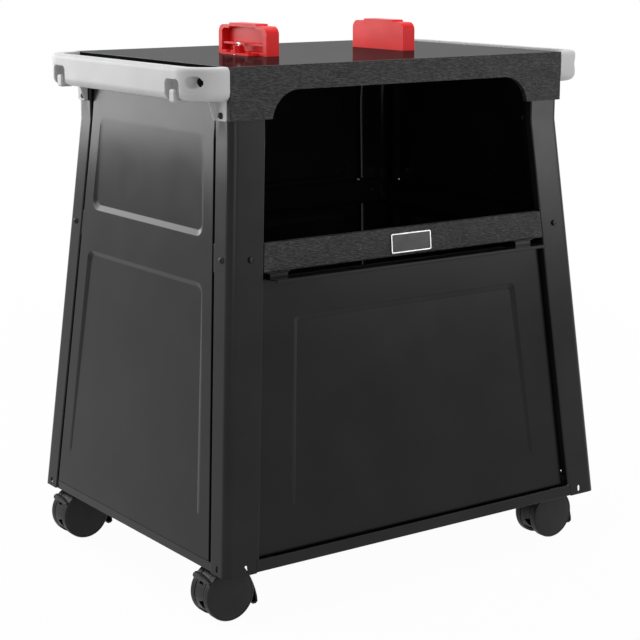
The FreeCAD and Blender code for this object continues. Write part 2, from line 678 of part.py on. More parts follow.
def mid_rail():
    low, high = slope_up(BELT_LOW, FRONT_TILT), slope_up(BELT_HIGH, FRONT_TILT)
    half_low = flange_edge_x(BELT_LOW) - FIT
    half_high = flange_edge_x(BELT_HIGH) - FIT
    rail = belt_channel(0, half_low, half_high, FRONT_TILT)
    start, end = low + TAB_MARGIN, high - TAB_MARGIN
    tab = box(-TAB_REACH, -half_high + TAB_OVERLAP, POST_SHEET, POST_SHEET + BELT_SHEET, start, end)
    weld = box(-half_high, -half_high + TAB_OVERLAP, BELT_SHEET, POST_SHEET + BELT_SHEET, start, end)
    tab = joined([tab, weld])
    rail = joined([rail, tab, mirrored_x(tab)])
    for x in (-BELT_SCREW_X, BELT_SCREW_X):
        rail = rail.cut(face_hole(x, BELT_MIDDLE, FRONT_TILT, SCREW_RADIUS + HOLE_FIT))
    return on_face(rail, "front")


def brace(half, tilt, screw, side):
    bar = belt_channel(POST_SHEET, half, half, tilt)
    for across in (-screw, screw):
        bar = bar.cut(face_hole(across, BELT_MIDDLE, tilt, SCREW_RADIUS + HOLE_FIT))
    return on_face(bar, side)


def side_brace():
    return brace(BRACE_HALF, SIDE_TILT, BELT_SCREW_Y, "left")


def rear_brace():
    return brace(TAB_REACH, FRONT_TILT, BELT_SCREW_X, "rear")


# Bottom tray and rail
def bottom_shelf():
    low, top = FOOT_HEIGHT, TRAY_TOP
    outer = box(-TRAY_HALF_X, TRAY_HALF_X, -TRAY_HALF_Y, TRAY_HALF_Y, low, top)
    inner = box(-TRAY_HALF_X + TRAY_SHEET, TRAY_HALF_X - TRAY_SHEET,
                -TRAY_HALF_Y + TRAY_SHEET, TRAY_HALF_Y - TRAY_SHEET, low, TRAY_FLOOR)
    corner = box(TRAY_CORNER_X, TRAY_HALF_X + SPARE, TRAY_CORNER_Y, TRAY_HALF_Y + SPARE,
                 low - SPARE, top + SPARE)
    skirt = box(TRAY_HALF_X - TRAY_SHEET, TRAY_HALF_X + SPARE, TRAY_SKIRT_Y, TRAY_HALF_Y,
                low - SPARE, TRAY_FLOOR)
    tray = outer.cut(inner)
    for cutter in (corner, skirt):
        for across in (cutter, mirrored_x(cutter)):
            tray = tray.cut(across)
            tray = tray.cut(mirrored_y(across))
    for x, y in bolt_places():
        tray = tray.cut(rod(BOLT_RADIUS + BOLT_FIT, (x, y, low), (x, y, top + SPARE)))
    return tray


def bottom_rail():
    low, high = slope_up(RAIL_LOW, FRONT_TILT), slope_up(RAIL_HIGH, FRONT_TILT)
    web = box(-RAIL_HALF, RAIL_HALF, 0, BELT_SHEET, low, high)
    return on_face(web.makeFillet(BELT_SHEET / 2, long_edges(web, 0)), "front")


def long_edges(shape, depth):
    """The long edges of a bar that lie at one depth."""
    edges = []
    for edge in shape.Edges:
        reach = edge.BoundBox
        at_depth = abs(reach.YMin - depth) < FIT and abs(reach.YMax - depth) < FIT
        if at_depth and reach.XLength > TABLE_WIDTH / 2:
            edges.append(edge)
    return edges


# Door
def door_panel():
    def half_at(height):
        return flange_edge_x(height) - DOOR_SIDE_GAP

    def field_at(height):
        return half_at(height) - DOOR_PRESS_INSET
    outline = tilted_outline(half_at, DOOR_FOOT, DOOR_TOP, FRONT_TILT)
    panel = folded_panel(outline, DOOR_SETBACK, DOOR_SHEET, DOOR_RETURN)
    low, high = slope_up(DOOR_FOOT, FRONT_TILT), slope_up(DOOR_TOP, FRONT_TILT)
    half_low = half_at(DOOR_FOOT) - DOOR_SHEET
    half_high = half_at(DOOR_TOP) - DOOR_SHEET
    front, back, tip = DOOR_SETBACK, DOOR_SETBACK + DOOR_RETURN, DOOR_SETBACK - LIP_REACH
    foot = box(-half_low, half_low, front, back, low, low + DOOR_SHEET)
    head = box(-half_high, half_high, front, back, high - DOOR_SHEET, high)
    lip = box(-lip_half(), lip_half(), tip, front + DOOR_SHEET, high - DOOR_SHEET, high)
    hem = box(-lip_half(), lip_half(), tip, tip + 2 * DOOR_SHEET, high - LIP_HEM, high)
    hem = hem.makeFillet(DOOR_SHEET - TOUCH, long_edges(hem, tip))
    panel = joined([panel, foot, head, lip, hem])
    field = tilted_outline(field_at, DOOR_PRESS[0], DOOR_PRESS[1], FRONT_TILT)
    panel = press_field(panel, field, DOOR_PRESS_RADIUS, DOOR_SETBACK, DOOR_SHEET)
    door = on_face(panel, "front")
    y = hinge_y()
    bore = rod(HINGE_RADIUS + HINGE_FIT, (-FOOT_X, y, HINGE_HEIGHT), (FOOT_X, y, HINGE_HEIGHT))
    return door.cut(bore)


def hinge_y():
    """Where the door's hinge line lies, behind the face of the posts."""
    return -(POST_Y + SPLAY_Y * splay(HINGE_HEIGHT)) + HINGE_DEPTH


def door_edge():
    """Half the door's width at the hinge."""
    return flange_edge_x(HINGE_HEIGHT) - DOOR_SIDE_GAP


def lip_half():
    """Half the width of the door's lip."""
    return flange_edge_x(DOOR_TOP) - LIP_INSET


def catch_x():
    """How far from the middle the door catches sit."""
    return lip_half() - CATCH_INSET


def hinge_bracket():
    y = hinge_y()
    inner = -door_edge() - HINGE_SIDE_GAP
    outer = inner - HINGE_SHEET
    front, back = y - HINGE_EAR_HALF, y + HINGE_EAR_HALF
    ear = box(outer, inner, front, back, TRAY_TOP, HINGE_HEIGHT)
    crown = rod(HINGE_EAR_HALF, (outer, y, HINGE_HEIGHT), (inner, y, HINGE_HEIGHT))
    foot = box(outer, outer + HINGE_FOOT_LENGTH, front, back, TRAY_TOP, TRAY_TOP + HINGE_SHEET)
    bore = rod(HINGE_RADIUS + HOLE_FIT, (outer - SPARE, y, HINGE_HEIGHT), (inner + SPARE, y, HINGE_HEIGHT))
    return joined([ear, crown, foot]).cut(bore)


def hinge_pin():
    y = hinge_y()
    outer = -door_edge() - HINGE_SIDE_GAP - HINGE_SHEET
    shoulder = -door_edge() + DOOR_SHEET + HINGE_SIDE_GAP
    pin = rod(HINGE_RADIUS, (outer, y, HINGE_HEIGHT), (shoulder, y, HINGE_HEIGHT))
    head = rod(HINGE_HEAD, (shoulder, y, HINGE_HEIGHT), (shoulder + HINGE_HEAD_LENGTH, y, HINGE_HEIGHT))
    return joined([pin, head])


def door_catch():
    """The magnetic catch under the rail, in the face plane."""
    top = slope_up(BELT_LOW, FRONT_TILT)
    left, right = -catch_x() - CATCH_WIDTH / 2, -catch_x() + CATCH_WIDTH / 2
    front = DOOR_SETBACK - SPARE
    block = box(left, right, front, front + CATCH_DEPTH, top - CATCH_THICK, top)
    arm = box(left, right, BELT_RETURN, front + CATCH_DEPTH, top, top + TAB_MARGIN)
    return on_face(joined([block, arm]), "front")


def strike_plate():
    """The steel block on the door that meets the catch."""
    low = slope_up(DOOR_TOP, FRONT_TILT)
    high = slope_up(BELT_LOW, FRONT_TILT) - CATCH_THICK - FIT
    left, right = -catch_x() - STRIKE_WIDTH / 2, -catch_x() + STRIKE_WIDTH / 2
    block = box(left, right, DOOR_SETBACK, DOOR_SETBACK + STRIKE_DEPTH, low, high)
    return on_face(block, "front")


# Badge
def badge_outline(margin):
    middle = slope_up(BADGE_Z, FRONT_TILT)
    half_x, half_z = BADGE_WIDTH / 2 - margin, BADGE_HEIGHT / 2 - margin
    return [(-half_x, middle - half_z), (half_x, middle - half_z),
            (half_x, middle + half_z), (-half_x, middle + half_z)]


def badge_frame():
    outer = rounded_plate(badge_outline(0), BADGE_RADIUS, -BADGE_THICK, BADGE_THICK)
    inner = rounded_plate(badge_outline(BADGE_RIM), BADGE_RADIUS / 2, -BADGE_THICK, BADGE_THICK)
    return on_face(outer.cut(inner), "front")


def badge_face():
    face = rounded_plate(badge_outline(BADGE_RIM + TOUCH), BADGE_RADIUS / 2, -BADGE_FACE, BADGE_FACE)
    return on_face(face, "front")


# Handles
def section_wire(place):
    """The closed section of the grip. place maps (distance out, height) to a point."""
    low, high, thick = GRIP_LOW, TABLE_HEIGHT, GRIP_THICK
    top, foot = GRIP_TOP_ROUND, GRIP_LOW_ROUND
    middle_top = top * (1 - math.sqrt(0.5))
    middle_foot = foot * (1 - math.sqrt(0.5))
    return Part.Wire([
        Part.makeLine(place(0, low), place(thick - foot, low)),
        Part.Arc(place(thick - foot, low), place(thick - middle_foot, low + middle_foot),
                 place(thick, low + foot)).toShape(),
        Part.makeLine(place(thick, low + foot), place(thick, high - top)),
        Part.Arc(place(thick, high - top), place(thick - middle_top, high - middle_top),
                 place(thick - top, high)).toShape(),
        Part.makeLine(place(thick - top, high), place(0, high)),
        Part.makeLine(place(0, high), place(0, low))])


def grip():
    """The C-shaped bar: two short arms, two round corners and the long bar."""
    inner_x = -GRIP_OUTER_X + GRIP_THICK
    turn_y = GRIP_FRONT_Y - GRIP_RADIUS
    turn_x = -GRIP_OUTER_X + GRIP_RADIUS
    root_x = -TABLE_WIDTH / 2

    def on_bar(out, height):
        return Vector(inner_x - out, -turn_y, height)

    def on_arm(out, height):
        return Vector(root_x, -(GRIP_FRONT_Y - GRIP_THICK) - out, height)
    bar = Part.Face(section_wire(on_bar))
    straight = bar.extrude(Vector(0, 2 * turn_y, 0))
    corner = bar.revolve(Vector(turn_x, -turn_y, 0), Vector(0, 0, 1), 90)
    arm = Part.Face(section_wire(on_arm)).extrude(Vector(turn_x - root_x, 0, 0))
    return joined([straight, corner, arm, mirrored_y(corner), mirrored_y(arm)])


def hook_notch():
    """The hollow behind a hook, open at the outside and below."""
    low, high = GRIP_LOW - NOTCH_ROUND - SPARE, GRIP_LOW + NOTCH_HEIGHT
    near, far = NOTCH_Y - NOTCH_WIDTH / 2, NOTCH_Y + NOTCH_WIDTH / 2
    outline = [(near, low), (far, low), (far, high), (near, high)]
    cutter = rounded_plate(outline, NOTCH_ROUND, 0, NOTCH_DEPTH + SPARE)
    cutter.rotate(Vector(0, 0, 0), Vector(0, 0, 1), -90)
    cutter.translate(Vector(-GRIP_OUTER_X - SPARE, 0, 0))
    return cutter


def hook():
    """The J-shaped hook that stands in a notch."""
    near, far = -NOTCH_Y - HOOK_WIDTH / 2, -NOTCH_Y + HOOK_WIDTH / 2
    low = GRIP_LOW - HOOK_DROP
    outer, inner = -GRIP_OUTER_X, -GRIP_OUTER_X + NOTCH_DEPTH
    tip = box(outer, outer + HOOK_THICK, near, far, low, HOOK_TIP)
    base = box(outer, inner + HOOK_ROOT, near, far, low, low + HOOK_THICK)
    root = box(inner, inner + HOOK_THICK, near, far, low, GRIP_LOW + HOOK_THICK)
    shape = joined([tip, base, root])
    edges = [edge for edge in shape.Edges if edge.BoundBox.YLength > HOOK_WIDTH - FIT
             and edge.BoundBox.XMax < outer + FIT]
    return shape.makeFillet(HOOK_THICK / 2 - HOLE_FIT, edges)


def corner_slot():
    """The oblong hole through the round corner of the grip, seen from the side."""
    half, run = SLOT_HEIGHT / 2, (SLOT_LENGTH - SLOT_HEIGHT) / 2
    outer, inner = -GRIP_OUTER_X - SPARE, -GRIP_OUTER_X + SLOT_REACH
    y, z = -GRIP_FRONT_Y + SLOT_INSET, GRIP_LOW + SLOT_RAISE
    middle = box(outer, inner, y - run, y + run, z - half, z + half)
    ends = [rod(half, (outer, y + shift, z), (inner, y + shift, z)) for shift in (-run, run)]
    return joined([middle] + ends)


def handle_bracket():
    """The screwed pad under the front end of the grip, with the flange that props it."""
    outer, inner = -POST_X - PAD_THICK, -POST_X - TOUCH
    under, roof = TABLE_HEIGHT - SKIRT_HEIGHT - TOUCH, GRIP_LOW + BRACKET_ROOF
    pad = box(outer, inner, -PAD_FRONT, -PAD_REAR, PAD_FOOT, under)
    corners = [edge for edge in pad.Edges if edge.BoundBox.XLength > PAD_THICK / 2
               and edge.BoundBox.ZMax < GRIP_LOW and edge.BoundBox.YMax < -PAD_REAR - FIT]
    pad = pad.makeFillet(PAD_ROUND, corners)
    side = [(inner, PAD_FOOT), (outer - FLANGE_FOOT, PAD_FOOT), (outer - FLANGE_REACH, GRIP_LOW),
            (outer - FLANGE_REACH, roof), (outer, roof), (outer, under), (inner, under)]
    flange = prism([(x, -PAD_REAR, z) for x, z in side], (0, FLANGE_SHEET, 0))
    shelf = box(outer - FLANGE_REACH, outer, -GRIP_FRONT_Y + GRIP_THICK - BRACKET_ROOF,
                -PAD_REAR + FLANGE_SHEET, GRIP_LOW, roof)
    return joined([pad, flange, shelf])


def handle():
    bar = grip()
    for flip in (False, True):
        for cutter in (hook_notch(), corner_slot()):
            bar = bar.cut(mirrored_y(cutter) if flip else cutter)
    front_hook, front_pad = hook(), handle_bracket()
    bar = joined([bar, front_hook, mirrored_y(front_hook), front_pad, mirrored_y(front_pad)])
    for y in (-PAD_SCREW_Y, PAD_SCREW_Y):
        bar = bar.cut(rod(SCREW_RADIUS + HOLE_FIT, (-POST_X - PAD_THICK - SPARE, y, PAD_SCREW_Z),
                          (-POST_X, y, PAD_SCREW_Z)))
    return bar


# Red locators
def locator_block(margin, cheek, start, depth):
    """The round-cornered block of a locator, drawn in by a margin and by a cheek at each end."""
    half, end = LOCATOR_HALF - cheek, LOCATOR_END_HEIGHT - margin
    rise, crown = LOCATOR_CROWN_HALF, LOCATOR_END_HEIGHT + LOCATOR_RAISE - margin
    points = [(-half, margin), (half, margin), (half, end), (rise + LOCATOR_RAMP, end), (rise, crown),
              (-rise, crown), (-rise - LOCATOR_RAMP, end), (-half, end)]
    shape = prism([(start, y, TABLE_HEIGHT + z) for y, z in points], (depth, 0, 0))
    edges = [edge for edge in shape.Edges if edge.BoundBox.XLength > depth / 2
             and abs(abs(edge.BoundBox.YMin) - half) < FIT
             and edge.BoundBox.ZMin > TABLE_HEIGHT + end - FIT]
    return shape.makeFillet(LOCATOR_ROUND - margin, edges)


def locator():
    outer = -LOCATOR_INNER - LOCATOR_THICK
    body = locator_block(0, 0, outer, LOCATOR_THICK)
    body = body.cut(locator_block(LOCATOR_RIM, LOCATOR_CHEEK, outer, LOCATOR_HOLLOW))
    rib_low, rib_half = TABLE_HEIGHT + LOCATOR_RIB_Z, LOCATOR_HALF - LOCATOR_CHEEK
    rib = box(outer + RIB_SETBACK, outer + LOCATOR_HOLLOW, -rib_half, rib_half,
              rib_low, rib_low + LOCATOR_RIB)
    foot = box(outer - FOOT_REACH, outer, -FOOT_HALF, FOOT_HALF, TABLE_HEIGHT, TABLE_HEIGHT + FOOT_THICK)
    corners = [edge for edge in foot.Edges if edge.BoundBox.ZLength > FOOT_THICK / 2
               and edge.BoundBox.XMax < outer - FIT]
    foot = foot.makeFillet(LOCATOR_ROUND / 2, corners)
    boss = rod(BOSS_RADIUS, (-BOSS_X, 0, TABLE_HEIGHT), (-BOSS_X, 0, TABLE_HEIGHT + BOSS_HEIGHT))
    web = box(-BOSS_X, outer + RIB_SETBACK, -FOOT_THICK, FOOT_THICK, TABLE_HEIGHT,
              TABLE_HEIGHT + BOSS_HEIGHT - BOSS_WEB_DROP)
    crown = TABLE_HEIGHT + SMALL_BOSS_HEIGHT
    small = [rod(SMALL_BOSS_RADIUS, (-SMALL_BOSS_X, y, TABLE_HEIGHT), (-SMALL_BOSS_X, y, crown))
             for y in (-SMALL_BOSS_Y, SMALL_BOSS_Y)]
    part = joined([body, rib, foot, boss, web] + small)
    return part.cut(rod(SCREW_RADIUS + HOLE_FIT, (-BOSS_X, 0, TABLE_HEIGHT - SPARE),
                        (-BOSS_X, 0, TABLE_HEIGHT + BOSS_HEIGHT + SPARE)))


# Screws and bolts
def frame_screws():
    screws = []
    places = [(side, across) for side in ("front", "rear") for across in (-BELT_SCREW_X, BELT_SCREW_X)]
    places += [(side, across) for side in ("left", "right") for across in (-BELT_SCREW_Y, BELT_SCREW_Y)]
    for side, across in places:
        tilt = FRONT_TILT if side in ("front", "rear") else SIDE_TILT
        screw = dome_screw(SCREW_RADIUS, SCREW_HEAD, SCREW_DOME, SCREW_LENGTH)
        screw.translate(Vector(across, 0, slope_up(BELT_MIDDLE, tilt)))
        screws.append(on_face(screw, side))
    return Part.makeCompound(screws)


def handle_screws():
    screws = []
    for y in (-PAD_SCREW_Y, PAD_SCREW_Y):
        screw = dome_screw(SCREW_RADIUS, SCREW_HEAD, SCREW_DOME, SCREW_LENGTH)
        screw.rotate(Vector(0, 0, 0), Vector(0, 0, 1), -90)
        screw.translate(Vector(-POST_X - PAD_THICK, y, PAD_SCREW_Z))
        screws += [screw, mirrored_x(screw)]
    return Part.makeCompound(screws)


def locator_screws():
    screw = dome_screw(SCREW_RADIUS, LOCATOR_HEAD, TALL_DOME, BOSS_HEIGHT + SCREW_LENGTH)
    screw.rotate(Vector(0, 0, 0), Vector(1, 0, 0), -90)
    screw.translate(Vector(-BOSS_X, 0, TABLE_HEIGHT + BOSS_HEIGHT))
    return Part.makeCompound([screw, mirrored_x(screw)])


def bolt_places():
    """Where the bolts of the four caster plates stand."""
    places = []
    for x in (-CASTER_X, CASTER_X):
        for y in (-CASTER_Y, CASTER_Y):
            for a in (-PLATE_BOLT, PLATE_BOLT):
                places += [(x + a, y - PLATE_BOLT), (x + a, y + PLATE_BOLT)]
    return places


def caster_bolts():
    plate_low = TRAY_FLOOR - PLATE_THICK
    parts = []
    for x, y in bolt_places():
        shank = rod(BOLT_RADIUS, (x, y, TRAY_TOP - BOLT_LENGTH), (x, y, TRAY_TOP))
        head = rod(BOLT_HEAD, (x, y, TRAY_TOP), (x, y, TRAY_TOP + BOLT_HEAD_HEIGHT))
        rim = [edge for edge in head.Edges if edge.BoundBox.ZMin > TRAY_TOP + BOLT_HEAD_HEIGHT / 2]
        parts.append(joined([shank, head.makeChamfer(BOLT_CHAMFER, rim)]))
        low = plate_low - NUT_HEIGHT
        turns = [math.radians(60 * side) for side in range(6)]
        corners = [(x + NUT_RADIUS * math.cos(turn), y + NUT_RADIUS * math.sin(turn), low)
                   for turn in turns]
        bore = rod(BOLT_RADIUS + HOLE_FIT, (x, y, low - SPARE), (x, y, plate_low + SPARE))
        parts.append(prism(corners, (0, 0, NUT_HEIGHT)).cut(bore))
    return Part.makeCompound(parts)


# Casters, built around a stem at the origin and then moved
def at_axle(forward, up, across=0.0):
    """A point given around a caster's axle."""
    return Vector(forward - CASTER_TRAIL, across, up + WHEEL_RADIUS)


def drawn(points):
    """Outline points at the size of this wheel."""
    return [(forward * CASTER_SCALE, up * CASTER_SCALE) for forward, up in points]


def caster_plate():
    low, half = TRAY_FLOOR - PLATE_THICK, PLATE_SIZE / 2
    plate = box(-half, half, -half, half, low, TRAY_FLOOR)
    corners = [edge for edge in plate.Edges if edge.BoundBox.ZLength > PLATE_THICK / 2]
    plate = plate.makeFillet(PLATE_THICK * 2, corners)
    race = rod(RACE_RADIUS, (0, 0, low - RACE_DEPTH), (0, 0, low))
    pin = rod(KINGPIN_RADIUS, (0, 0, KINGPIN_FOOT), (0, 0, low))
    plate = joined([plate, race, pin])
    for x in (-PLATE_BOLT, PLATE_BOLT):
        for y in (-PLATE_BOLT, PLATE_BOLT):
            plate = plate.cut(rod(BOLT_RADIUS + BOLT_FIT, (x, y, low - SPARE), (x, y, TRAY_FLOOR + SPARE)))
    return plate


def spine_face(margin, across):
    """The side view of the caster body, drawn in by a margin, at one distance across."""
    radius = SPINE_RADIUS - margin
    start, head = math.radians(HOOD_START), math.radians(HOOD_HEAD)

    def round_at(angle):
        return at_axle(radius * math.cos(angle), radius * math.sin(angle), across)
    tail = [at_axle(forward - margin, up, across) for forward, up in drawn(HOOD_TAIL)]
    foot = [at_axle(forward, up + margin, across) for forward, up in drawn(HOOD_FOOT)]
    tail[0] = tail[0] - Vector(0, 0, margin)
    foot[0] = foot[0] - Vector(margin, 0, 0)
    edges = [Part.Arc(round_at(start), round_at((start + head) / 2), round_at(head)).toShape(),
             Part.makeLine(round_at(head), tail[0]),
             Part.Arc(tail[0], tail[1], tail[2]).toShape(),
             Part.makeLine(tail[2], tail[3]),
             Part.makeLine(tail[3], foot[0])]
    edges += [Part.makeLine(foot[i], foot[i + 1]) for i in range(len(foot) - 1)]
    edges.append(Part.makeLine(foot[-1], round_at(start)))
    return Part.Face(Part.Wire(edges))


def across_axle(radius, forward, up, half):
    """A round bar across the caster, given around its axle."""
    return rod(radius, at_axle(forward, up, -half), at_axle(forward, up, half))


def along_way(points, reach):
    """A straight-sided cutter along a caster's way, on an outline of (across, up) points."""
    start, end = reach
    outline = [at_axle(start, up, across) for across, up in drawn(points)]
    return prism(outline, (end - start, 0, 0))


def caster_hood():
    body = spine_face(0, -SPINE_HALF).extrude(Vector(0, 2 * SPINE_HALF, 0))
    for start in (-SPINE_HALF - SPARE, SPINE_WEB):
        pocket = spine_face(SPINE_RIM, start)
        body = body.cut(pocket.extrude(Vector(0, SPINE_HALF - SPINE_WEB + SPARE, 0)))
    stem_top = TRAY_FLOOR - PLATE_THICK - RACE_DEPTH - FIT
    stem = rod(SPINE_HALF - TOUCH, (0, 0, KINGPIN_FOOT - KINGPIN_CAP), (0, 0, stem_top))
    collar = rod(COLLAR_RADIUS, (0, 0, stem_top - COLLAR_HEIGHT), (0, 0, stem_top))
    boss = across_axle(SPINE_BOSS, 0, 0, SPINE_HALF)
    seat = across_axle(LEVER_EYE + SPINE_RIM, *LEVER_PIVOT, SPINE_HALF)
    body = joined([body, boss, stem, collar, seat]).cut(lever_slot())
    body = body.cut(across_axle(LEVER_PIN + HOLE_FIT, *LEVER_PIVOT, LEVER_PIN_HALF + WHEEL_GAP))
    body = body.cut(rod(KINGPIN_RADIUS + HOLE_FIT, (0, 0, KINGPIN_FOOT - SPARE), (0, 0, TRAY_FLOOR)))
    body = body.cut(along_way(FACE_RECESS, RECESS_REACH))
    return body.cut(across_axle(AXLE_RADIUS, 0, 0, SPINE_HALF + SPARE))


def lever_slot():
    """Room in the caster body for the tongue of the brake lever."""
    half = LEVER_TONGUE + LEVER_CLEAR
    eye = across_axle(LEVER_EYE + LEVER_CLEAR, *LEVER_PIVOT, half)
    pivot = at_axle(*LEVER_PIVOT)
    way = prism([(pivot.x + forward, -half, pivot.z + up) for forward, up in SLOT_WAY], (0, 2 * half, 0))
    return joined([eye, way])


def caster_axle():
    return across_axle(AXLE_RADIUS, 0, 0, AXLE_HALF)


def caster_wheel():
    """The wheel on the +Y side, turned from one profile around its axle."""
    inner, outer = SPINE_HALF + WHEEL_GAP, WHEEL_OUTER
    radius, bore, blind = WHEEL_RADIUS, AXLE_RADIUS + HOLE_FIT, AXLE_HALF + WHEEL_GAP
    deep = inner + WHEEL_CAVITY

    def at(reach, across):
        return at_axle(reach, 0, across)
    points = [at(0, blind), at(bore, blind), at(bore, inner), at(WHEEL_HUB, inner), at(WHEEL_HUB, deep),
              at(radius - WHEEL_RIM, deep), at(radius - WHEEL_RIM, inner), at(radius - RIM_LAND, inner),
              at(radius, inner + RIM_LAND), at(radius, outer - TREAD_ROUND)]
    edges = [Part.makeLine(points[i], points[i + 1]) for i in range(len(points) - 1)]
    shoulder, rim = [at(radius - drop, outer - back) for drop, back in FACE_RIM]
    ring = at(radius - FACE_RING[0], outer - FACE_RING[1])
    dish, hub = at(radius / 2, outer - FACE_DISH), at(AXLE_RADIUS, outer)
    edges.append(Part.Arc(points[-1], shoulder, rim).toShape())
    edges.append(Part.makeLine(rim, ring))
    edges.append(Part.Arc(ring, dish, hub).toShape())
    edges.append(Part.makeLine(hub, at(0, outer)))
    edges.append(Part.makeLine(at(0, outer), at(0, blind)))
    return Part.Face(Part.Wire(edges)).revolve(at_axle(0, 0), Vector(0, 1, 0), 360)


def brake_lever():
    """A wide pedal over both wheels with a tongue into the caster body."""
    side = [at_axle(forward, up, -LEVER_HALF) for forward, up in drawn(PEDAL)]
    pedal = prism(side, (0, 2 * LEVER_HALF, 0))
    pedal = pedal.cut(across_axle(WHEEL_RADIUS + LEVER_CLEAR, 0, 0, LEVER_HALF + SPARE))
    pedal = pedal.cut(along_way(PEDAL_TAPER, TAPER_REACH))
    forward, up = LEVER_PIVOT
    outline = [(forward - TONGUE_ROOT, up), *drawn(TONGUE_TIP), (forward + TONGUE_ROOT, up)]
    tongue = prism([at_axle(x, z, -LEVER_TONGUE) for x, z in outline], (0, 2 * LEVER_TONGUE, 0))
    eye = across_axle(LEVER_EYE - LEVER_CLEAR, forward, up, LEVER_TONGUE)
    pin = across_axle(LEVER_PIN, forward, up, LEVER_PIN_HALF)
    return joined([pedal, tongue, eye, pin])


def moved(shape, x, y):
    """A copy of a caster part at a stem."""
    placed = shape.copy()
    placed.translate(Vector(x, y, 0))
    return placed


def export_parts():
    """Builds every node and writes it as its own file."""
    under = TABLE_HEIGHT - TABLE_SHEET
    front_post = corner_post(under - TABLE_SHEET, True)
    rear_post = mirrored_y(corner_post(under, False))
    panel, belt, catch, strike = side_panel(), side_brace(), door_catch(), strike_plate()
    bracket, pin, grip_left, red_left = hinge_bracket(), hinge_pin(), handle(), locator()
    parts = {
        "top_panel": table_top(), "front_fascia": front_fascia(),
        "rear_panel": rear_panel(), "rear_brace": rear_brace(), "mid_rail": mid_rail(),
        "bottom_shelf": bottom_shelf(), "bottom_rail": bottom_rail(), "door_panel": door_panel(),
        "badge_frame": badge_frame(), "badge_face": badge_face(), "frame_screws": frame_screws(),
        "handle_screws": handle_screws(), "locator_screws": locator_screws(),
        "caster_bolts": caster_bolts()}
    pairs = {"post_front": front_post, "post_rear": rear_post, "side_panel": panel, "side_brace": belt,
             "door_catch": catch, "strike_plate": strike, "hinge_bracket": bracket, "hinge_pin": pin,
             "handle": grip_left, "locator": red_left}
    for name, shape in pairs.items():
        parts[name + "_left"] = shape
        parts[name + "_right"] = mirrored_x(shape)
    plate, hood, axle = caster_plate(), caster_hood(), caster_axle()
    wheel, lever = caster_wheel(), brake_lever()
    for end, y in (("front", -CASTER_Y), ("rear", CASTER_Y)):
        for side, x in (("left", -CASTER_X), ("right", CASTER_X)):
            place = "_" + end + "_" + side
            parts["caster_plate" + place] = moved(plate, x, y)
            parts["caster_hood" + place] = moved(hood, x, y)
            parts["caster_axle" + place] = moved(axle, x, y)
            parts["wheel_near" + place] = moved(mirrored_y(wheel), x, y)
            parts["wheel_far" + place] = moved(wheel, x, y)
            parts["brake_lever" + place] = moved(lever, x, y)
    os.makedirs("parts", exist_ok=True)
    for name, shape in parts.items():
        shape.exportStep("parts/" + name + ".step")
        print(name, shape.isValid(), len(shape.Solids), round(shape.Volume), len(shape.Faces))


export_parts()
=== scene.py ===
"""Looks of the grill cart: finishes, fine pieces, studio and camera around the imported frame."""

import json
import logging
import math
from dataclasses import dataclass
from enum import Enum
from typing import Any, Iterable, Optional, Sequence, Union

import bmesh
import bpy
from mathutils import Euler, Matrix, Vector

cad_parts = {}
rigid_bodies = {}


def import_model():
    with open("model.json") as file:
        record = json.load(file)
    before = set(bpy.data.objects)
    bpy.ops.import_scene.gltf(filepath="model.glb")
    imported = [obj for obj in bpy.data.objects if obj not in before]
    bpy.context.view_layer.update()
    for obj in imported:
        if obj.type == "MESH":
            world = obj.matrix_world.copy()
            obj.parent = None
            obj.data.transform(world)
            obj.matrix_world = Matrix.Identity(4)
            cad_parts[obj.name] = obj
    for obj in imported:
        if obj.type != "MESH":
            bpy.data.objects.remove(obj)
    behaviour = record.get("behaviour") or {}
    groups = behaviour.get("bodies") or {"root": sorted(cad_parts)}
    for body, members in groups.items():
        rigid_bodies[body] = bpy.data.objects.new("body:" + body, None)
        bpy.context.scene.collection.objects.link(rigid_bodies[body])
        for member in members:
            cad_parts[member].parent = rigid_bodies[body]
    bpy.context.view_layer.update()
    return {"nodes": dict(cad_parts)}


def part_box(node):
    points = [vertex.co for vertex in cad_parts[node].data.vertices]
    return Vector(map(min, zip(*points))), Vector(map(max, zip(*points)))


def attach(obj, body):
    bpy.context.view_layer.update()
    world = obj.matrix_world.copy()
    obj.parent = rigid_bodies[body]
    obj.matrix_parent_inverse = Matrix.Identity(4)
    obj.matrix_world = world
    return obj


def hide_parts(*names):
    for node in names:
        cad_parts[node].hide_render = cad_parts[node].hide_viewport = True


LOG = logging.getLogger("cart")
MM = 0.001

Colour = tuple[float, float, float, float]
Point = tuple[float, float, float]
Key = Union[int, str]
Settings = Optional[dict[str, Any]]
Inputs = Optional[dict[Key, Any]]
Socket = bpy.types.NodeSocket

WHITE: Colour = (1.0, 1.0, 1.0, 1.0)
EVEN: Point = (1.0, 1.0, 1.0)
SIDES = ("left", "right")
CORNERS = tuple(f"{end}_{side}" for end in ("front", "rear") for side in SIDES)
SAME_POINT = 0.01 * MM  # points closer than this are one
SHARP_EDGE = 35.0  # an edge that turns by more degrees than this is rounded, or shaded sharp
FLAT_EDGE = 0.4  # an edge that turns by fewer degrees than this is taken out of a flat face
SHADE_WEIGHT = 80  # how much the wide faces lead the shading
CLOUD_RANGE = (0.3, 0.7)  # the part of the clouds that colour and roughness follow
SMUDGE = 0.6  # size of the roughness clouds against the colour clouds
MIRROR_FADE = 0.6 * MM  # height over which a polish sets in
RIDGE = 0.36  # radius of a thread's ridge against its pitch


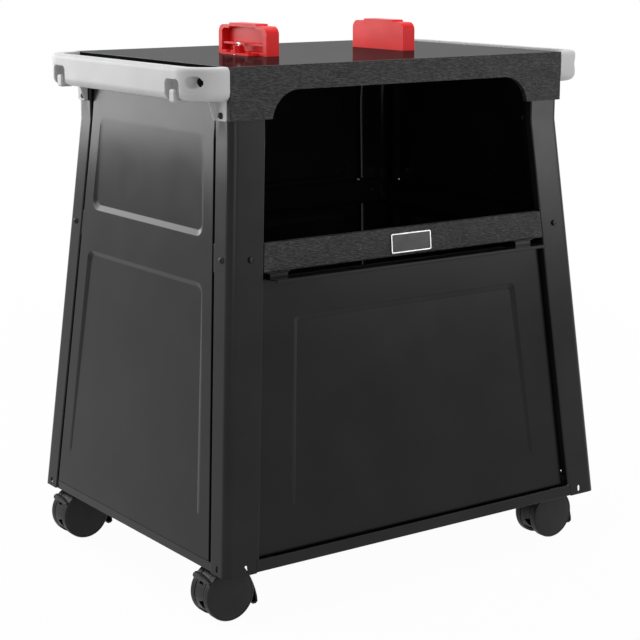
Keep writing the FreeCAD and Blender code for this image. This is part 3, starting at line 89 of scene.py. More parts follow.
def paint(red: int, green: int, blue: int) -> Colour:
    """The linear colour of a screen colour, by the standard screen curve.

    Args:
        red: Red from 0 to 255.
        green: Green from 0 to 255.
        blue: Blue from 0 to 255.

    Returns:
        The colour as a shader socket takes it.
    """
    parts = [part / 255 for part in (red, green, blue)]
    linear = [part / 12.92 if part <= 0.04045 else ((part + 0.055) / 1.055) ** 2.4 for part in parts]
    return (*linear, 1.0)


def grey(level: int) -> Colour:
    """The linear colour of a neutral screen grey."""
    return paint(level, level, level)


def add_node(tree: bpy.types.NodeTree, kind: str, settings: Settings, inputs: Inputs,
             pick: Key) -> Optional[Socket]:
    """Add any node to a tree.

    Args:
        tree: The tree.
        kind: The node's type.
        settings: Its own settings, set first.
        inputs: Values, sockets or lists of sockets for its inputs.
        pick: The output to hand back.

    Returns:
        The picked output, or None where the node has none.
    """
    made = tree.nodes.new(kind)
    for name, value in (settings or {}).items():
        setattr(made, name, value)
    for name, value in (inputs or {}).items():
        for part in value if isinstance(value, list) else [value]:
            if isinstance(part, Socket):
                tree.links.new(part, made.inputs[name])
            else:
                made.inputs[name].default_value = part
    return made.outputs[pick] if made.outputs else None


class Slot(str, Enum):
    """The record's material slots."""

    TABLE = "table_gloss"
    WRINKLE = "textured_black"
    BODY = "body_black"
    DOOR = "door_black"
    HANDLE = "handle_grey"
    LOCATOR = "locator_red"
    SCREW_BLACK = "screw_black"
    SCREW_LIGHT = "screw_light"
    BADGE_FRAME = "badge_silver"
    BADGE_FACE = "badge_dark"
    ZINC = "zinc_steel"
    CATCH = "catch_black"
    CASTER = "caster_black"
    LEVER = "lever_black"


class Pattern(Enum):
    """The kinds of relief a surface can have."""

    PEEL = "soft orange peel of a sprayed coat"
    WRINKLE = "drawn-out wrinkles of a textured coat"
    GRAIN = "fine spark grain of a mould"
    BRUSH = "straight hair lines of brushed metal"
    SPANGLE = "crystals of plated zinc"


Operand = Union["Wire", float]


class Wire:
    """A shader value that can be written in an expression."""

    def __init__(self, paper: "Paper", socket: Optional[Socket]) -> None:
        """Keep the socket and the tree that it belongs to."""
        self.paper = paper
        self.socket = socket

    def _math(self, operation: str, left: Operand, right: Operand) -> "Wire":
        """Add a Math node for two values."""
        return self.paper.node("ShaderNodeMath", {"operation": operation}, {0: left, 1: right})

    def __add__(self, other: Operand) -> "Wire":
        """Sum."""
        return self._math("ADD", self, other)

    __radd__ = __add__

    def __sub__(self, other: Operand) -> "Wire":
        """Difference."""
        return self._math("SUBTRACT", self, other)

    def __rsub__(self, other: Operand) -> "Wire":
        """Difference from a number."""
        return self._math("SUBTRACT", other, self)

    def __mul__(self, other: Operand) -> "Wire":
        """Product."""
        return self._math("MULTIPLY", self, other)

    __rmul__ = __mul__

    def or_more(self, other: Operand) -> "Wire":
        """The larger of two values."""
        return self._math("MAXIMUM", self, other)

    def spread(self, low: float, high: float, to_low: float = 0.0, to_high: float = 1.0) -> "Wire":
        """Map a range on to another and hold it there.

        Args:
            low: Value that becomes to_low.
            high: Value that becomes to_high.
            to_low: Result at the low end.
            to_high: Result at the high end.

        Returns:
            The mapped value.
        """
        return self.paper.node("ShaderNodeMapRange", {"clamp": True},
                               {0: self, 1: low, 2: high, 3: to_low, 4: to_high})


class Paper:
    """One material's node tree."""

    def __init__(self, tree: bpy.types.NodeTree) -> None:
        """Start on an empty tree."""
        self.tree = tree
        self.tree.nodes.clear()

    def node(self, kind: str, settings: Settings = None, inputs: Inputs = None, pick: Key = 0) -> Wire:
        """Add any node.

        Args:
            kind: The node's type.
            settings: Its own settings, set first.
            inputs: Values or wires for its sockets.
            pick: The output to hand back.

        Returns:
            The picked output.
        """
        plain = {name: value.socket if isinstance(value, Wire) else value
                 for name, value in (inputs or {}).items()}
        return Wire(self, add_node(self.tree, kind, settings, plain, pick))

    def place(self, stretch: Point = EVEN) -> Wire:
        """Object coordinates for a pattern.

        Args:
            stretch: How far the pattern is drawn out along each axis.

        Returns:
            The coordinates.
        """
        spot = self.node("ShaderNodeTexCoord", pick="Object")
        scale = tuple(1 / part for part in stretch)
        return self.node("ShaderNodeMapping", {"vector_type": "POINT"}, {"Vector": spot, "Scale": scale})

    def clouds(self, size: float, stretch: Point = EVEN, detail: float = 2.0, twist: float = 0.0,
               rough: float = 0.5) -> Wire:
        """Soft noise.

        Args:
            size: Width of one feature in metres.
            stretch: How far features are drawn out along each axis.
            detail: Octaves of finer noise.
            twist: Distortion.
            rough: Weight of the finer noise.

        Returns:
            A value from 0 to 1 around 0.5.
        """
        return self.node("ShaderNodeTexNoise", {"noise_dimensions": "3D"},
                         {"Vector": self.place(stretch), "Scale": 1 / size, "Detail": detail,
                          "Roughness": rough, "Distortion": twist})

    def cells(self, size: float, stretch: Point) -> Wire:
        """Distance to the nearest of scattered points."""
        return self.node("ShaderNodeTexVoronoi", {"feature": "F1"},
                         {"Vector": self.place(stretch), "Scale": 1 / size})

    def blend(self, share: Operand, first: Any, second: Any) -> Wire:
        """A colour between two colours."""
        return self.node("ShaderNodeMix", {"data_type": "RGBA"}, {0: share, 6: first, 7: second}, pick=2)

    def relief(self, height: Wire, depth: float, under: Optional[Wire]) -> Wire:
        """A bump on top of another.

        Args:
            height: The relief from 0 to 1.
            depth: Its real depth in metres.
            under: The bump that it lies on, if there is one.

        Returns:
            The normal.
        """
        inputs: dict[Key, Any] = {"Height": height, "Distance": depth, "Strength": 1.0}
        if under is not None:
            inputs["Normal"] = under
        return self.node("ShaderNodeBump", {}, inputs)

    def shell(self, **inputs: Any) -> Wire:
        """A Principled surface. Socket names have _ for each space."""
        named = {name.replace("_", " "): value for name, value in inputs.items()}
        return self.node("ShaderNodeBsdfPrincipled", {}, named)

    def finish(self, surface: Wire) -> None:
        """Send a surface to the output."""
        self.node("ShaderNodeOutputMaterial", {}, {"Surface": surface})


NOISE: dict[Pattern, dict[str, float]] = {
    Pattern.PEEL: {"detail": 1.0},
    Pattern.WRINKLE: {"detail": 2.0, "twist": 0.7},
    Pattern.GRAIN: {"detail": 4.0, "rough": 0.7},
    Pattern.BRUSH: {"detail": 5.0, "rough": 0.75},
}


@dataclass(frozen=True)
class Grain:
    """One layer of relief.

    Attributes:
        pattern: The kind of relief.
        size: Width of one feature in metres.
        depth: Height of the relief in metres.
        stretch: How far it is drawn out along each axis.
    """

    pattern: Pattern
    size: float
    depth: float
    stretch: Point = EVEN

    def height(self, paper: Paper) -> Wire:
        """The relief as a value from 0 to 1.

        Args:
            paper: The material's tree.

        Returns:
            The height.
        """
        if self.pattern is Pattern.SPANGLE:
            return paper.cells(self.size, self.stretch)
        height = paper.clouds(self.size, self.stretch, **NOISE[self.pattern])
        if self.pattern is Pattern.WRINKLE:
            return height.spread(low=0.38, high=0.68)
        return height


@dataclass(frozen=True)
class Finish:
    """A coat, a moulded plastic or a metal.

    Attributes:
        name: The material's name.
        slot: The record's slot.
        low: Colour in the hollows of the clouds, and painted shade in the hollows of the first relief where
            that is painted in.
        high: Colour on their crests, and painted highlight on the crests of that relief.
        cloud: Size of the colour clouds in metres.
        rough: Smallest and largest roughness.
        specular: Specular level.
        metallic: Share of bare metal.
        mirror: Share of plain mirror in the coat, the same at every angle.
        mirror_from: Height in metres above which the coat is polished to that mirror.
        relief_painted_shade: How much painted shade and highlight from the first relief shows in the colour,
            darker in its hollows and lighter on its crests.
        grains: Layers of relief, the coarsest first.
    """

    name: str
    slot: Slot
    low: Colour
    high: Colour
    cloud: float = 0.05
    rough: tuple[float, float] = (0.3, 0.4)
    specular: float = 0.5
    metallic: float = 0.0
    mirror: float = 0.0
    mirror_from: float = 0.0
    relief_painted_shade: float = 0.0
    grains: tuple[Grain, ...] = ()

    def build(self) -> bpy.types.Material:
        """Make the material.

        Returns:
            The material.
        """
        material = bpy.data.materials.new(self.name)
        material.use_nodes = True
        paper = Paper(material.node_tree)
        tone = paper.clouds(self.cloud, detail=4.0).spread(*CLOUD_RANGE)
        normal: Optional[Wire] = None
        for index, grain in enumerate(self.grains):
            height = grain.height(paper)
            normal = paper.relief(height, grain.depth, normal)
            # painted shade and highlight: the colour follows the first relief's height, dark in its hollows
            # and light on its crests
            if index == 0 and self.relief_painted_shade:
                tone = tone + (height - tone) * self.relief_painted_shade
        smudge = paper.clouds(self.cloud * SMUDGE, detail=5.0, twist=0.4)
        inputs: dict[str, Any] = {
            "Base_Color": paper.blend(tone, self.low, self.high),
            "Roughness": smudge.spread(*CLOUD_RANGE, *self.rough),
            "Metallic": self.metallic, "Specular_IOR_Level": self.specular}
        if normal is not None:
            inputs["Normal"] = normal
        surface = paper.shell(**inputs)
        if self.mirror:
            inputs.update({"Base_Color": WHITE, "Metallic": 1.0})
            height = paper.node("ShaderNodeSeparateXYZ", {}, {0: paper.place()}, pick="Z")
            share = height.spread(self.mirror_from - MIRROR_FADE, self.mirror_from, 0.0, self.mirror)
            polish = paper.shell(**inputs)
            surface = paper.node("ShaderNodeMixShader", {}, {0: share, 1: surface, 2: polish})
        paper.finish(surface)
        material.diffuse_color = self.high
        return material


PEEL = Grain(Pattern.PEEL, 2.4 * MM, 0.012 * MM)
FINISHES: tuple[Finish, ...] = (
    Finish("gloss_enamel", Slot.TABLE, paint(16, 16, 17), paint(26, 26, 27), 0.12, (0.06, 0.10), 0.0,
           mirror=0.14, mirror_from=0.7604, grains=(Grain(Pattern.PEEL, 12.0 * MM, 0.002 * MM),)),
    # painted shade and highlight on the wrinkles: their hollows take grey 16 and their crests grey 66
    Finish("wrinkle_coat", Slot.WRINKLE, grey(16), grey(66), 0.03, (0.42, 0.6), 0.22, relief_painted_shade=0.9,
           grains=(Grain(Pattern.WRINKLE, 2.4 * MM, 0.7 * MM, (3.0, 3.0, 0.75)),
                   Grain(Pattern.GRAIN, 0.8 * MM, 0.06 * MM))),
    Finish("satin_coat", Slot.BODY, grey(19), grey(28), 0.09, (0.18, 0.24), 0.185, grains=(PEEL,)),
    Finish("door_coat", Slot.DOOR, grey(17), grey(24), 0.09, (0.17, 0.23), 0.16, grains=(PEEL,)),
    Finish("handle_plastic", Slot.HANDLE, paint(184, 184, 185), paint(192, 192, 193), 0.06, (0.42, 0.52),
           0.3, grains=(Grain(Pattern.GRAIN, 0.7 * MM, 0.02 * MM),)),
    Finish("locator_plastic", Slot.LOCATOR, paint(208, 28, 30), paint(222, 36, 38), 0.05, (0.3, 0.4), 0.15,
           grains=(Grain(Pattern.GRAIN, 0.7 * MM, 0.01 * MM),)),
    Finish("black_screw", Slot.SCREW_BLACK, grey(8), paint(20, 20, 21), 0.004, (0.3, 0.42), 0.3,
           grains=(Grain(Pattern.GRAIN, 0.6 * MM, 0.03 * MM),)),
    Finish("bright_screw", Slot.SCREW_LIGHT, paint(226, 226, 228), paint(242, 242, 243), 0.004,
           (0.34, 0.46), metallic=1.0, grains=(Grain(Pattern.BRUSH, 0.5 * MM, 0.01 * MM, (1.0, 8.0, 1.0)),)),
    Finish("badge_silver", Slot.BADGE_FRAME, paint(178, 178, 180), paint(208, 208, 210), 0.01,
           (0.2, 0.34), metallic=1.0, grains=(Grain(Pattern.BRUSH, 0.4 * MM, 0.01 * MM, (30.0, 1.0, 1.0)),)),
    Finish("badge_black", Slot.BADGE_FACE, paint(10, 10, 11), paint(18, 18, 19), 0.02, (0.18, 0.28), 0.4,
           grains=(Grain(Pattern.GRAIN, 0.8 * MM, 0.01 * MM),)),
    Finish("plated_zinc", Slot.ZINC, paint(140, 142, 145), paint(190, 192, 194), 0.008, (0.28, 0.5),
           metallic=1.0, grains=(Grain(Pattern.SPANGLE, 1.6 * MM, 0.02 * MM),
                                 Grain(Pattern.GRAIN, 0.5 * MM, 0.01 * MM))),
    Finish("catch_plastic", Slot.CATCH, grey(20), grey(32), 0.02, (0.45, 0.6), 0.4,
           grains=(Grain(Pattern.GRAIN, 0.7 * MM, 0.04 * MM),)),
    Finish("caster_nylon", Slot.CASTER, grey(18), grey(29), 0.03, (0.38, 0.55), 0.22,
           grains=(Grain(Pattern.GRAIN, 0.8 * MM, 0.03 * MM),)),
    Finish("lever_nylon", Slot.LEVER, grey(22), grey(34), 0.03, (0.36, 0.5), 0.35,
           grains=(Grain(Pattern.GRAIN, 0.8 * MM, 0.03 * MM),)),
)


class Wardrobe:
    """All finishes, built once, and the pieces dressed in them."""

    def __init__(self, finishes: Iterable[Finish]) -> None:
        """Build every finish."""
        self.made = {finish.slot: finish.build() for finish in finishes}

    def dress(self, piece: bpy.types.Object, slot: Slot) -> None:
        """Give a piece its finish and name its slot.

        Args:
            piece: A mesh object.
            slot: The record's slot.
        """
        if piece.material_slots:
            for place in piece.material_slots:
                place.material = self.made[slot]
        else:
            piece.data.materials.append(self.made[slot])


def added(name: str, data: bpy.types.ID) -> bpy.types.Object:
    """A new object in the scene.

    Args:
        name: Its name.
        data: Its mesh, lamp or lens.

    Returns:
        The object.
    """
    made = bpy.data.objects.new(name, data)
    bpy.context.scene.collection.objects.link(made)
    return made


def merged(mesh: bpy.types.Mesh) -> bmesh.types.BMesh:
    """A mesh's loose triangles joined at their points.

    Args:
        mesh: The mesh, which stays as it is.

    Returns:
        The joined triangles, open for work.
    """
    work = bmesh.new()
    work.from_mesh(mesh)
    bmesh.ops.remove_doubles(work, verts=work.verts, dist=SAME_POINT)
    return work


def closed(work: bmesh.types.BMesh, mesh: bpy.types.Mesh) -> None:
    """End the work on a mesh.

    Args:
        work: The faces as they are now.
        mesh: The mesh that takes them, and that loses its materials.
    """
    work.to_mesh(mesh)
    work.free()
    mesh.materials.clear()


def soften(piece: bpy.types.Object, width: float, segments: int = 2, angle: float = SHARP_EDGE) -> None:
    """Add the modifiers that round a piece's edges.

    Args:
        piece: The piece.
        width: Width of the rounding in metres.
        segments: Facets across it.
        angle: Sharpest edge that stays as it is, in degrees.
    """
    weld = piece.modifiers.new("weld", "WELD")
    weld.merge_threshold = SAME_POINT
    flat = piece.modifiers.new("flat", "DECIMATE")
    flat.decimate_type = "DISSOLVE"
    flat.angle_limit = math.radians(FLAT_EDGE)
    bevel = piece.modifiers.new("bevel", "BEVEL")
    bevel.width = width
    bevel.segments = segments
    bevel.limit_method = "ANGLE"
    bevel.angle_limit = math.radians(angle)
    bevel.harden_normals = False
    shade = piece.modifiers.new("shade", "WEIGHTED_NORMAL")
    shade.keep_sharp = False
    shade.weight = SHADE_WEIGHT


def baked(piece: bpy.types.Object) -> bpy.types.Mesh:
    """Turn a helper with live modifiers into a plain mesh and remove the helper.

    Args:
        piece: The helper.

    Returns:
        The plain mesh.
    """
    bpy.context.view_layer.update()
    ready = piece.evaluated_get(bpy.context.evaluated_depsgraph_get())
    mesh = bpy.data.meshes.new_from_object(ready)
    piece.modifiers.clear()
    bpy.data.objects.remove(piece)
    return mesh


@dataclass
class Workshop:
    """What every sub-assembly builds with.

    Attributes:
        nodes: The CAD nodes by name.
        wardrobe: The finishes.
    """

    nodes: dict[str, bpy.types.Object]
    wardrobe: Wardrobe

    def round_edges(self, names: Sequence[str], width: float, segments: int = 2,
                    angle: float = SHARP_EDGE) -> None:
        """Soften the edges of CAD nodes with live modifiers.

        Args:
            names: The nodes.
            width: Width of the rounding in metres.
            segments: Facets across it.
            angle: Sharpest edge that stays as it is, in degrees.
        """
        for name in names:
            soften(self.nodes[name], width, segments, angle)

    def dress(self, names: Sequence[str], slot: Slot) -> None:
        """Give CAD nodes a finish."""
        for name in names:
            self.wardrobe.dress(self.nodes[name], slot)

    def settle(self, name: str, mesh: bpy.types.Mesh, body: str, slot: Slot, stands_for: str) -> None:
        """Make a finished piece of a mesh.

        Args:
            name: The piece's name.
            mesh: Its mesh, already in place.
            body: The CAD body it rides on.
            slot: The record's slot.
            stands_for: The CAD node that it replaces.
        """
        piece = added(name, mesh)
        self.wardrobe.dress(piece, slot)
        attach(piece, body)
        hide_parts(stands_for)

    def melted(self, name: str, voxel: float, passes: int) -> bpy.types.Mesh:
        """A copy of a node's mesh with all edges softened as a mould leaves them.

        Args:
            name: The CAD node.
            voxel: Size of the new mesh's faces in metres.
            passes: Smoothing passes.

        Returns:
            The softened mesh.
        """
        mesh = self.nodes[name].data.copy()
        closed(merged(mesh), mesh)
        piece = added(name + "_soft", mesh)
        remesh = piece.modifiers.new("voxels", "REMESH")
        remesh.mode = "VOXEL"
        remesh.voxel_size = voxel
        smooth = piece.modifiers.new("smooth", "SMOOTH")
        smooth.factor = 0.5
        smooth.iterations = passes
        result = baked(piece)
        for face in result.polygons:
            face.use_smooth = True
        return result


class Kept(Enum):
    """What is kept of a solid that others are set against."""

    REST = "DIFFERENCE"
    COMMON = "INTERSECT"


class Recipe:
    """A Geometry Nodes tree with named inputs."""

    def __init__(self, name: str, sizes: dict[str, float]) -> None:
        """Start a tree.

        Args:
            name: The tree's name.
            sizes: Its size inputs and their values.
        """
        self.tree = bpy.data.node_groups.new(name, "GeometryNodeTree")
        self.tree.is_modifier = True
        face = self.tree.interface
        face.new_socket("Geometry", in_out="INPUT", socket_type="NodeSocketGeometry")
        for size in sizes:
            face.new_socket(size, in_out="INPUT", socket_type="NodeSocketFloat")
        face.new_socket("Finish", in_out="INPUT", socket_type="NodeSocketMaterial")
        face.new_socket("Geometry", in_out="OUTPUT", socket_type="NodeSocketGeometry")
        self.sizes = sizes
        self.entry = self.tree.nodes.new("NodeGroupInput")
        self.exit = self.tree.nodes.new("NodeGroupOutput")

    def given(self, name: str) -> Socket:
        """A named input of the tree."""
        return self.entry.outputs[name]

    def node(self, kind: str, settings: Settings = None, inputs: Inputs = None, pick: Key = 0) -> Socket:
        """Add any node, whose inputs take values, sockets or lists of sockets."""
        return add_node(self.tree, kind, settings, inputs, pick)

    def times(self, left: Any, right: Any) -> Socket:
        """A product of two values."""
        return self.node("ShaderNodeMath", {"operation": "MULTIPLY"}, {0: left, 1: right})

    def vector(self, x: Any = 0.0, y: Any = 0.0, z: Any = 0.0) -> Socket:
        """A vector of three values."""
        return self.node("ShaderNodeCombineXYZ", {}, {0: x, 1: y, 2: z})

    def moved(self, part: Socket, shift: Any = (0, 0, 0), scale: Any = EVEN) -> Socket:
        """A geometry moved and scaled."""
        return self.node("GeometryNodeTransform", {},
                         {"Geometry": part, "Translation": shift, "Scale": scale})

    def cylinder(self, radius: Any, depth: Any, lift: Any, facets: int) -> Socket:
        """A closed cylinder along Z with its middle at a height."""
        sizes = {"Vertices": facets, "Radius": radius, "Depth": depth}
        return self.moved(self.node("GeometryNodeMeshCylinder", {}, sizes, "Mesh"), self.vector(z=lift))

    def block(self, x: Any, y: Any, z: Any, lift: Any) -> Socket:
        """A box with its middle at a height."""
        made = self.node("GeometryNodeMeshCube", {}, {"Size": self.vector(x, y, z)}, "Mesh")
        return self.moved(made, self.vector(z=lift))

    def cut(self, body: Socket, tools: list[Socket], keep: Kept = Kept.REST) -> Socket:
        """A solid set against other solids.

        Args:
            body: The solid.
            tools: The other solids.
            keep: What is kept of it.

        Returns:
            The result.
        """
        inputs: dict[Key, Any] = {0: body, 1: tools} if keep is Kept.REST else {1: [body, *tools]}
        return self.node("GeometryNodeMeshBoolean", {"operation": keep.value, "solver": "EXACT"}, inputs)

    def thread(self, radius: Any, pitch: float, turns: float, top: Any) -> Socket:
        """A screw thread that runs down along Z.

        Args:
            radius: Radius of the core.
            pitch: Height of one turn in metres.
            turns: Number of turns.
            top: Height of its upper end.

        Returns:
            The thread as a mesh.
        """
        helix = self.node("GeometryNodeCurveSpiral", {},
                          {"Resolution": 18, "Rotations": turns, "Start Radius": radius,
                           "End Radius": radius, "Height": -pitch * turns})
        ridge = self.node("GeometryNodeCurvePrimitiveCircle", {"mode": "RADIUS"},
                          {"Resolution": 4, "Radius": pitch * RIDGE})
        made = self.node("GeometryNodeCurveToMesh", {},
                         {"Curve": helix, "Profile Curve": ridge, "Fill Caps": True})
        return self.moved(made, self.vector(z=top))

    def placed(self, part: Socket) -> None:
        """End the tree with a part on every point, turned along the point's aim.

        Args:
            part: The part.
        """
        aim = self.node("GeometryNodeInputNamedAttribute", {"data_type": "FLOAT_VECTOR"}, {"Name": "aim"})
        turn = self.node("FunctionNodeAlignRotationToVector", {"axis": "Z"}, {"Vector": aim})
        many = self.node("GeometryNodeInstanceOnPoints", {},
                         {"Points": self.given("Geometry"), "Instance": part, "Rotation": turn})
        real = self.node("GeometryNodeRealizeInstances", {}, {"Geometry": many})
        done = self.node("GeometryNodeSetMaterial", {}, {"Geometry": real, "Material": self.given("Finish")})
        self.tree.links.new(done, self.exit.inputs[0])

    def made_at(self, places: Sequence[tuple[Vector, Vector]],
                material: bpy.types.Material) -> bpy.types.Mesh:
        """Run the tree on points and hand back the plain mesh.

        Args:
            places: Each point and the direction its part faces.
            material: The finish.

        Returns:
            The plain mesh.
        """
        mesh = bpy.data.meshes.new(self.tree.name + "_points")
        mesh.from_pydata([tuple(place) for place, _ in places], [], [])
        aim = mesh.attributes.new("aim", "FLOAT_VECTOR", "POINT")
        for item, (_, direction) in zip(aim.data, places):
            item.vector = direction
        holder = added(self.tree.name + "_holder", mesh)
        modifier = holder.modifiers.new("recipe", "NODES")
        modifier.node_group = self.tree
        values = {**self.sizes, "Finish": material}
        for item in self.tree.interface.items_tree:
            if item.in_out == "INPUT" and item.name in values:
                modifier[item.identifier] = values[item.name]
        return baked(holder)


@dataclass(frozen=True)
class PressedSheet:
    """A sheet whose pressed fields are deepest beside the belt and run out away from it.

    Attributes:
        node: The CAD node.
        outward: Roughly the way its face looks.
        body: The CAD body it rides on.
        slot: The record's slot.
        edge: Rounding of its edges in metres.
        belt: Height in metres of the belt that the fields run away from.
        crest: Height in metres that no field reaches.
        sheet: Thickness of the sheet in metres.
        press: Depth of a field in metres.
        least: Smallest depth in metres that counts as pressed.
        slack: How much deeper than a field a pressed point may lie, in metres.
        facing: Least cosine between the way out and a face of the sheet's plane.
        share: Least share of those faces that the sheet's plane has.
        cut_edge: Cosine between the way out and a face, below which it is a cut edge.
        decimals: Decimals to which two planes are the same.
    """

    node: str
    outward: Point
    body: str
    slot: Slot
    edge: float
    belt: float = 0.512
    crest: float = 0.69
    sheet: float = 1.2 * MM
    press: float = 4.0 * MM
    least: float = 0.02 * MM
    slack: float = 0.1 * MM
    facing: float = 0.95
    share: float = 0.15
    cut_edge: float = 0.3
    decimals: int = 4

    def face(self, work: bmesh.types.BMesh) -> tuple[Vector, float]:
        """Find the sheet's outer face.

        Args:
            work: The sheet's faces.

        Returns:
            The direction it looks and its distance from the origin that way.
        """
        area: dict[tuple[float, ...], float] = {}
        for side in work.faces:
            if side.normal.dot(Vector(self.outward)) > self.facing:
                plane = (*side.normal, side.normal.dot(side.verts[0].co))
                key = tuple(round(part, self.decimals) for part in plane)
                area[key] = area.get(key, 0.0) + side.calc_area()
        wide = [key for key, size in area.items() if size > self.share * sum(area.values())]
        best = max(wide, key=lambda key: key[3])
        return Vector(best[:3]).normalized(), best[3]

    def run_out(self, work: bmesh.types.BMesh) -> int:
        """Raise the far ends of the fields to the sheet's face.

        Args:
            work: The sheet's faces.

        Returns:
            The number of points in the fields.
        """
        outward, level = self.face(work)
        found = []
        for point in work.verts:
            looks = [side.normal.dot(outward) for side in point.link_faces]
            if not looks or point.co.z > self.crest or min(map(abs, looks)) < self.cut_edge:
                continue
            depth = level - outward.dot(point.co) - (0.0 if looks[0] > 0 else self.sheet)
            if self.least < depth < self.press + self.slack:
                found.append((point, depth))
        for above in (True, False):
            points = [item for item in found if (item[0].co.z > self.belt) == above]
            if not points:
                continue
            low = min(point.co.z for point, _ in points)
            high = max(point.co.z for point, _ in points)
            deep, flush = (low, high) if above else (high, low)
            for point, depth in points:
                share = (point.co.z - flush) / (deep - flush)
                point.co += outward * depth * (1 - share)
        return len(found)

    def build(self, shop: Workshop) -> None:
        """Make the sheet.

        Args:
            shop: The nodes and the finishes.
        """
        mesh = shop.nodes[self.node].data.copy()
        work = merged(mesh)
        work.normal_update()
        moved = self.run_out(work)
        closed(work, mesh)
        piece = added(self.node + "_plain", mesh)
        soften(piece, self.edge)
        shop.settle(self.node + "_pressed", baked(piece), self.body, self.slot, self.node)
        LOG.info("%s: %d points of its fields moved", self.node, moved)


@dataclass
class SheetBody:
    """The folded and pressed sheets of the cabinet.

    Attributes:
        table_fold: Rounding of the table's folds in metres.
        table_segments: Facets across it.
        sheet_edge: Rounding of sheared sheet edges in metres.
        satin: The plain sheets.
        wrinkled: The sheets with the textured coat.
        panels: The pressed sheets and the way each looks.
    """

    table_fold: float = 1.1 * MM
    table_segments: int = 3
    sheet_edge: float = 0.3 * MM
    satin: Sequence[str] = (*(f"post_{corner}" for corner in CORNERS), "side_brace_left",
                            "side_brace_right", "rear_brace", "bottom_shelf", "bottom_rail")
    wrinkled: Sequence[str] = ("front_fascia", "mid_rail")
    panels: Sequence[tuple[str, Point]] = (("side_panel_left", (-1.0, 0.0, 0.0)),
                                           ("side_panel_right", (1.0, 0.0, 0.0)),
                                           ("rear_panel", (0.0, 1.0, 0.0)))

    def build(self, shop: Workshop) -> None:
        """Round the folds and dress the sheets.

        Args:
            shop: The nodes and the finishes.
        """
        shop.round_edges(["top_panel"], self.table_fold, self.table_segments)
        shop.round_edges([*self.satin, *self.wrinkled], self.sheet_edge)
        shop.dress(["top_panel"], Slot.TABLE)
        shop.dress(self.satin, Slot.BODY)
        shop.dress(self.wrinkled, Slot.WRINKLE)
        for node, outward in self.panels:
            PressedSheet(node, outward, "cabinet", Slot.BODY, self.sheet_edge).build(shop)
        LOG.info("sheet body: %d sheets", 1 + len(self.satin) + len(self.wrinkled) + len(self.panels))


@dataclass
class DropDoor:
    """The door, its hinges and its catches.

    Attributes:
        edge: Rounding of the sheet edges in metres.
        block_edge: Rounding of the small blocks in metres.
        satin: The painted fittings.
        pins: The hinge pins.
        catches: The catches.
    """

    edge: float = 0.5 * MM
    block_edge: float = 0.4 * MM
    satin: Sequence[str] = ("strike_plate_left", "strike_plate_right", "hinge_bracket_left",
                            "hinge_bracket_right")
    pins: Sequence[str] = ("hinge_pin_left", "hinge_pin_right")
    catches: Sequence[str] = ("door_catch_left", "door_catch_right")

    def build(self, shop: Workshop) -> None:
        """Round the edges and dress the parts.

        Args:
            shop: The nodes and the finishes.
        """
        PressedSheet("door_panel", (0.0, -1.0, 0.0), "door", Slot.DOOR, self.edge).build(shop)
        shop.round_edges([*self.satin, *self.pins, *self.catches], self.block_edge)
        shop.dress(self.satin, Slot.BODY)
        shop.dress(self.pins, Slot.ZINC)
        shop.dress(self.catches, Slot.CATCH)
        LOG.info("drop door: door, %d fittings", len(self.satin) + len(self.pins) + len(self.catches))


@dataclass
class BlankBadge:
    """The plain plate on the rail.

    Attributes:
        edge: Rounding of its edges in metres.
    """

    edge: float = 0.3 * MM

    def build(self, shop: Workshop) -> None:
        """Round the edges and dress the plate.

        Args:
            shop: The nodes and the finishes.
        """
        shop.round_edges(["badge_frame", "badge_face"], self.edge)
        shop.dress(["badge_frame"], Slot.BADGE_FRAME)
        shop.dress(["badge_face"], Slot.BADGE_FACE)
        LOG.info("badge: frame and blank face")


@dataclass
class MouldedParts:
    """The grey handles, softened as mouldings, and the crisper red locators.

    Attributes:
        voxel: Size of the new mesh's faces in metres.
        passes: Smoothing passes.
        block_edge: Rounding of the locators' edges in metres.
        block_segments: Facets across it.
        block_angle: Sharpest edge of a locator that stays as it is, in degrees.
    """

    voxel: float = 1.0 * MM
    passes: int = 3
    block_edge: float = 0.6 * MM
    block_segments: int = 3
    block_angle: float = 30.0

    def build(self, shop: Workshop) -> None:
        """Make the four mouldings.

        Args:
            shop: The nodes and the finishes.
        """
        for side in SIDES:
            node = f"handle_{side}"
            mesh = shop.melted(node, self.voxel, self.passes)
            shop.settle(f"handle_moulding_{side}", mesh, "cabinet", Slot.HANDLE, node)
            LOG.info("%s: %d faces", node, len(mesh.polygons))
        locators = [f"locator_{side}" for side in SIDES]
        shop.round_edges(locators, self.block_edge, self.block_segments, self.block_angle)
        shop.dress(locators, Slot.LOCATOR)
        LOG.info("locators: %d", len(locators))


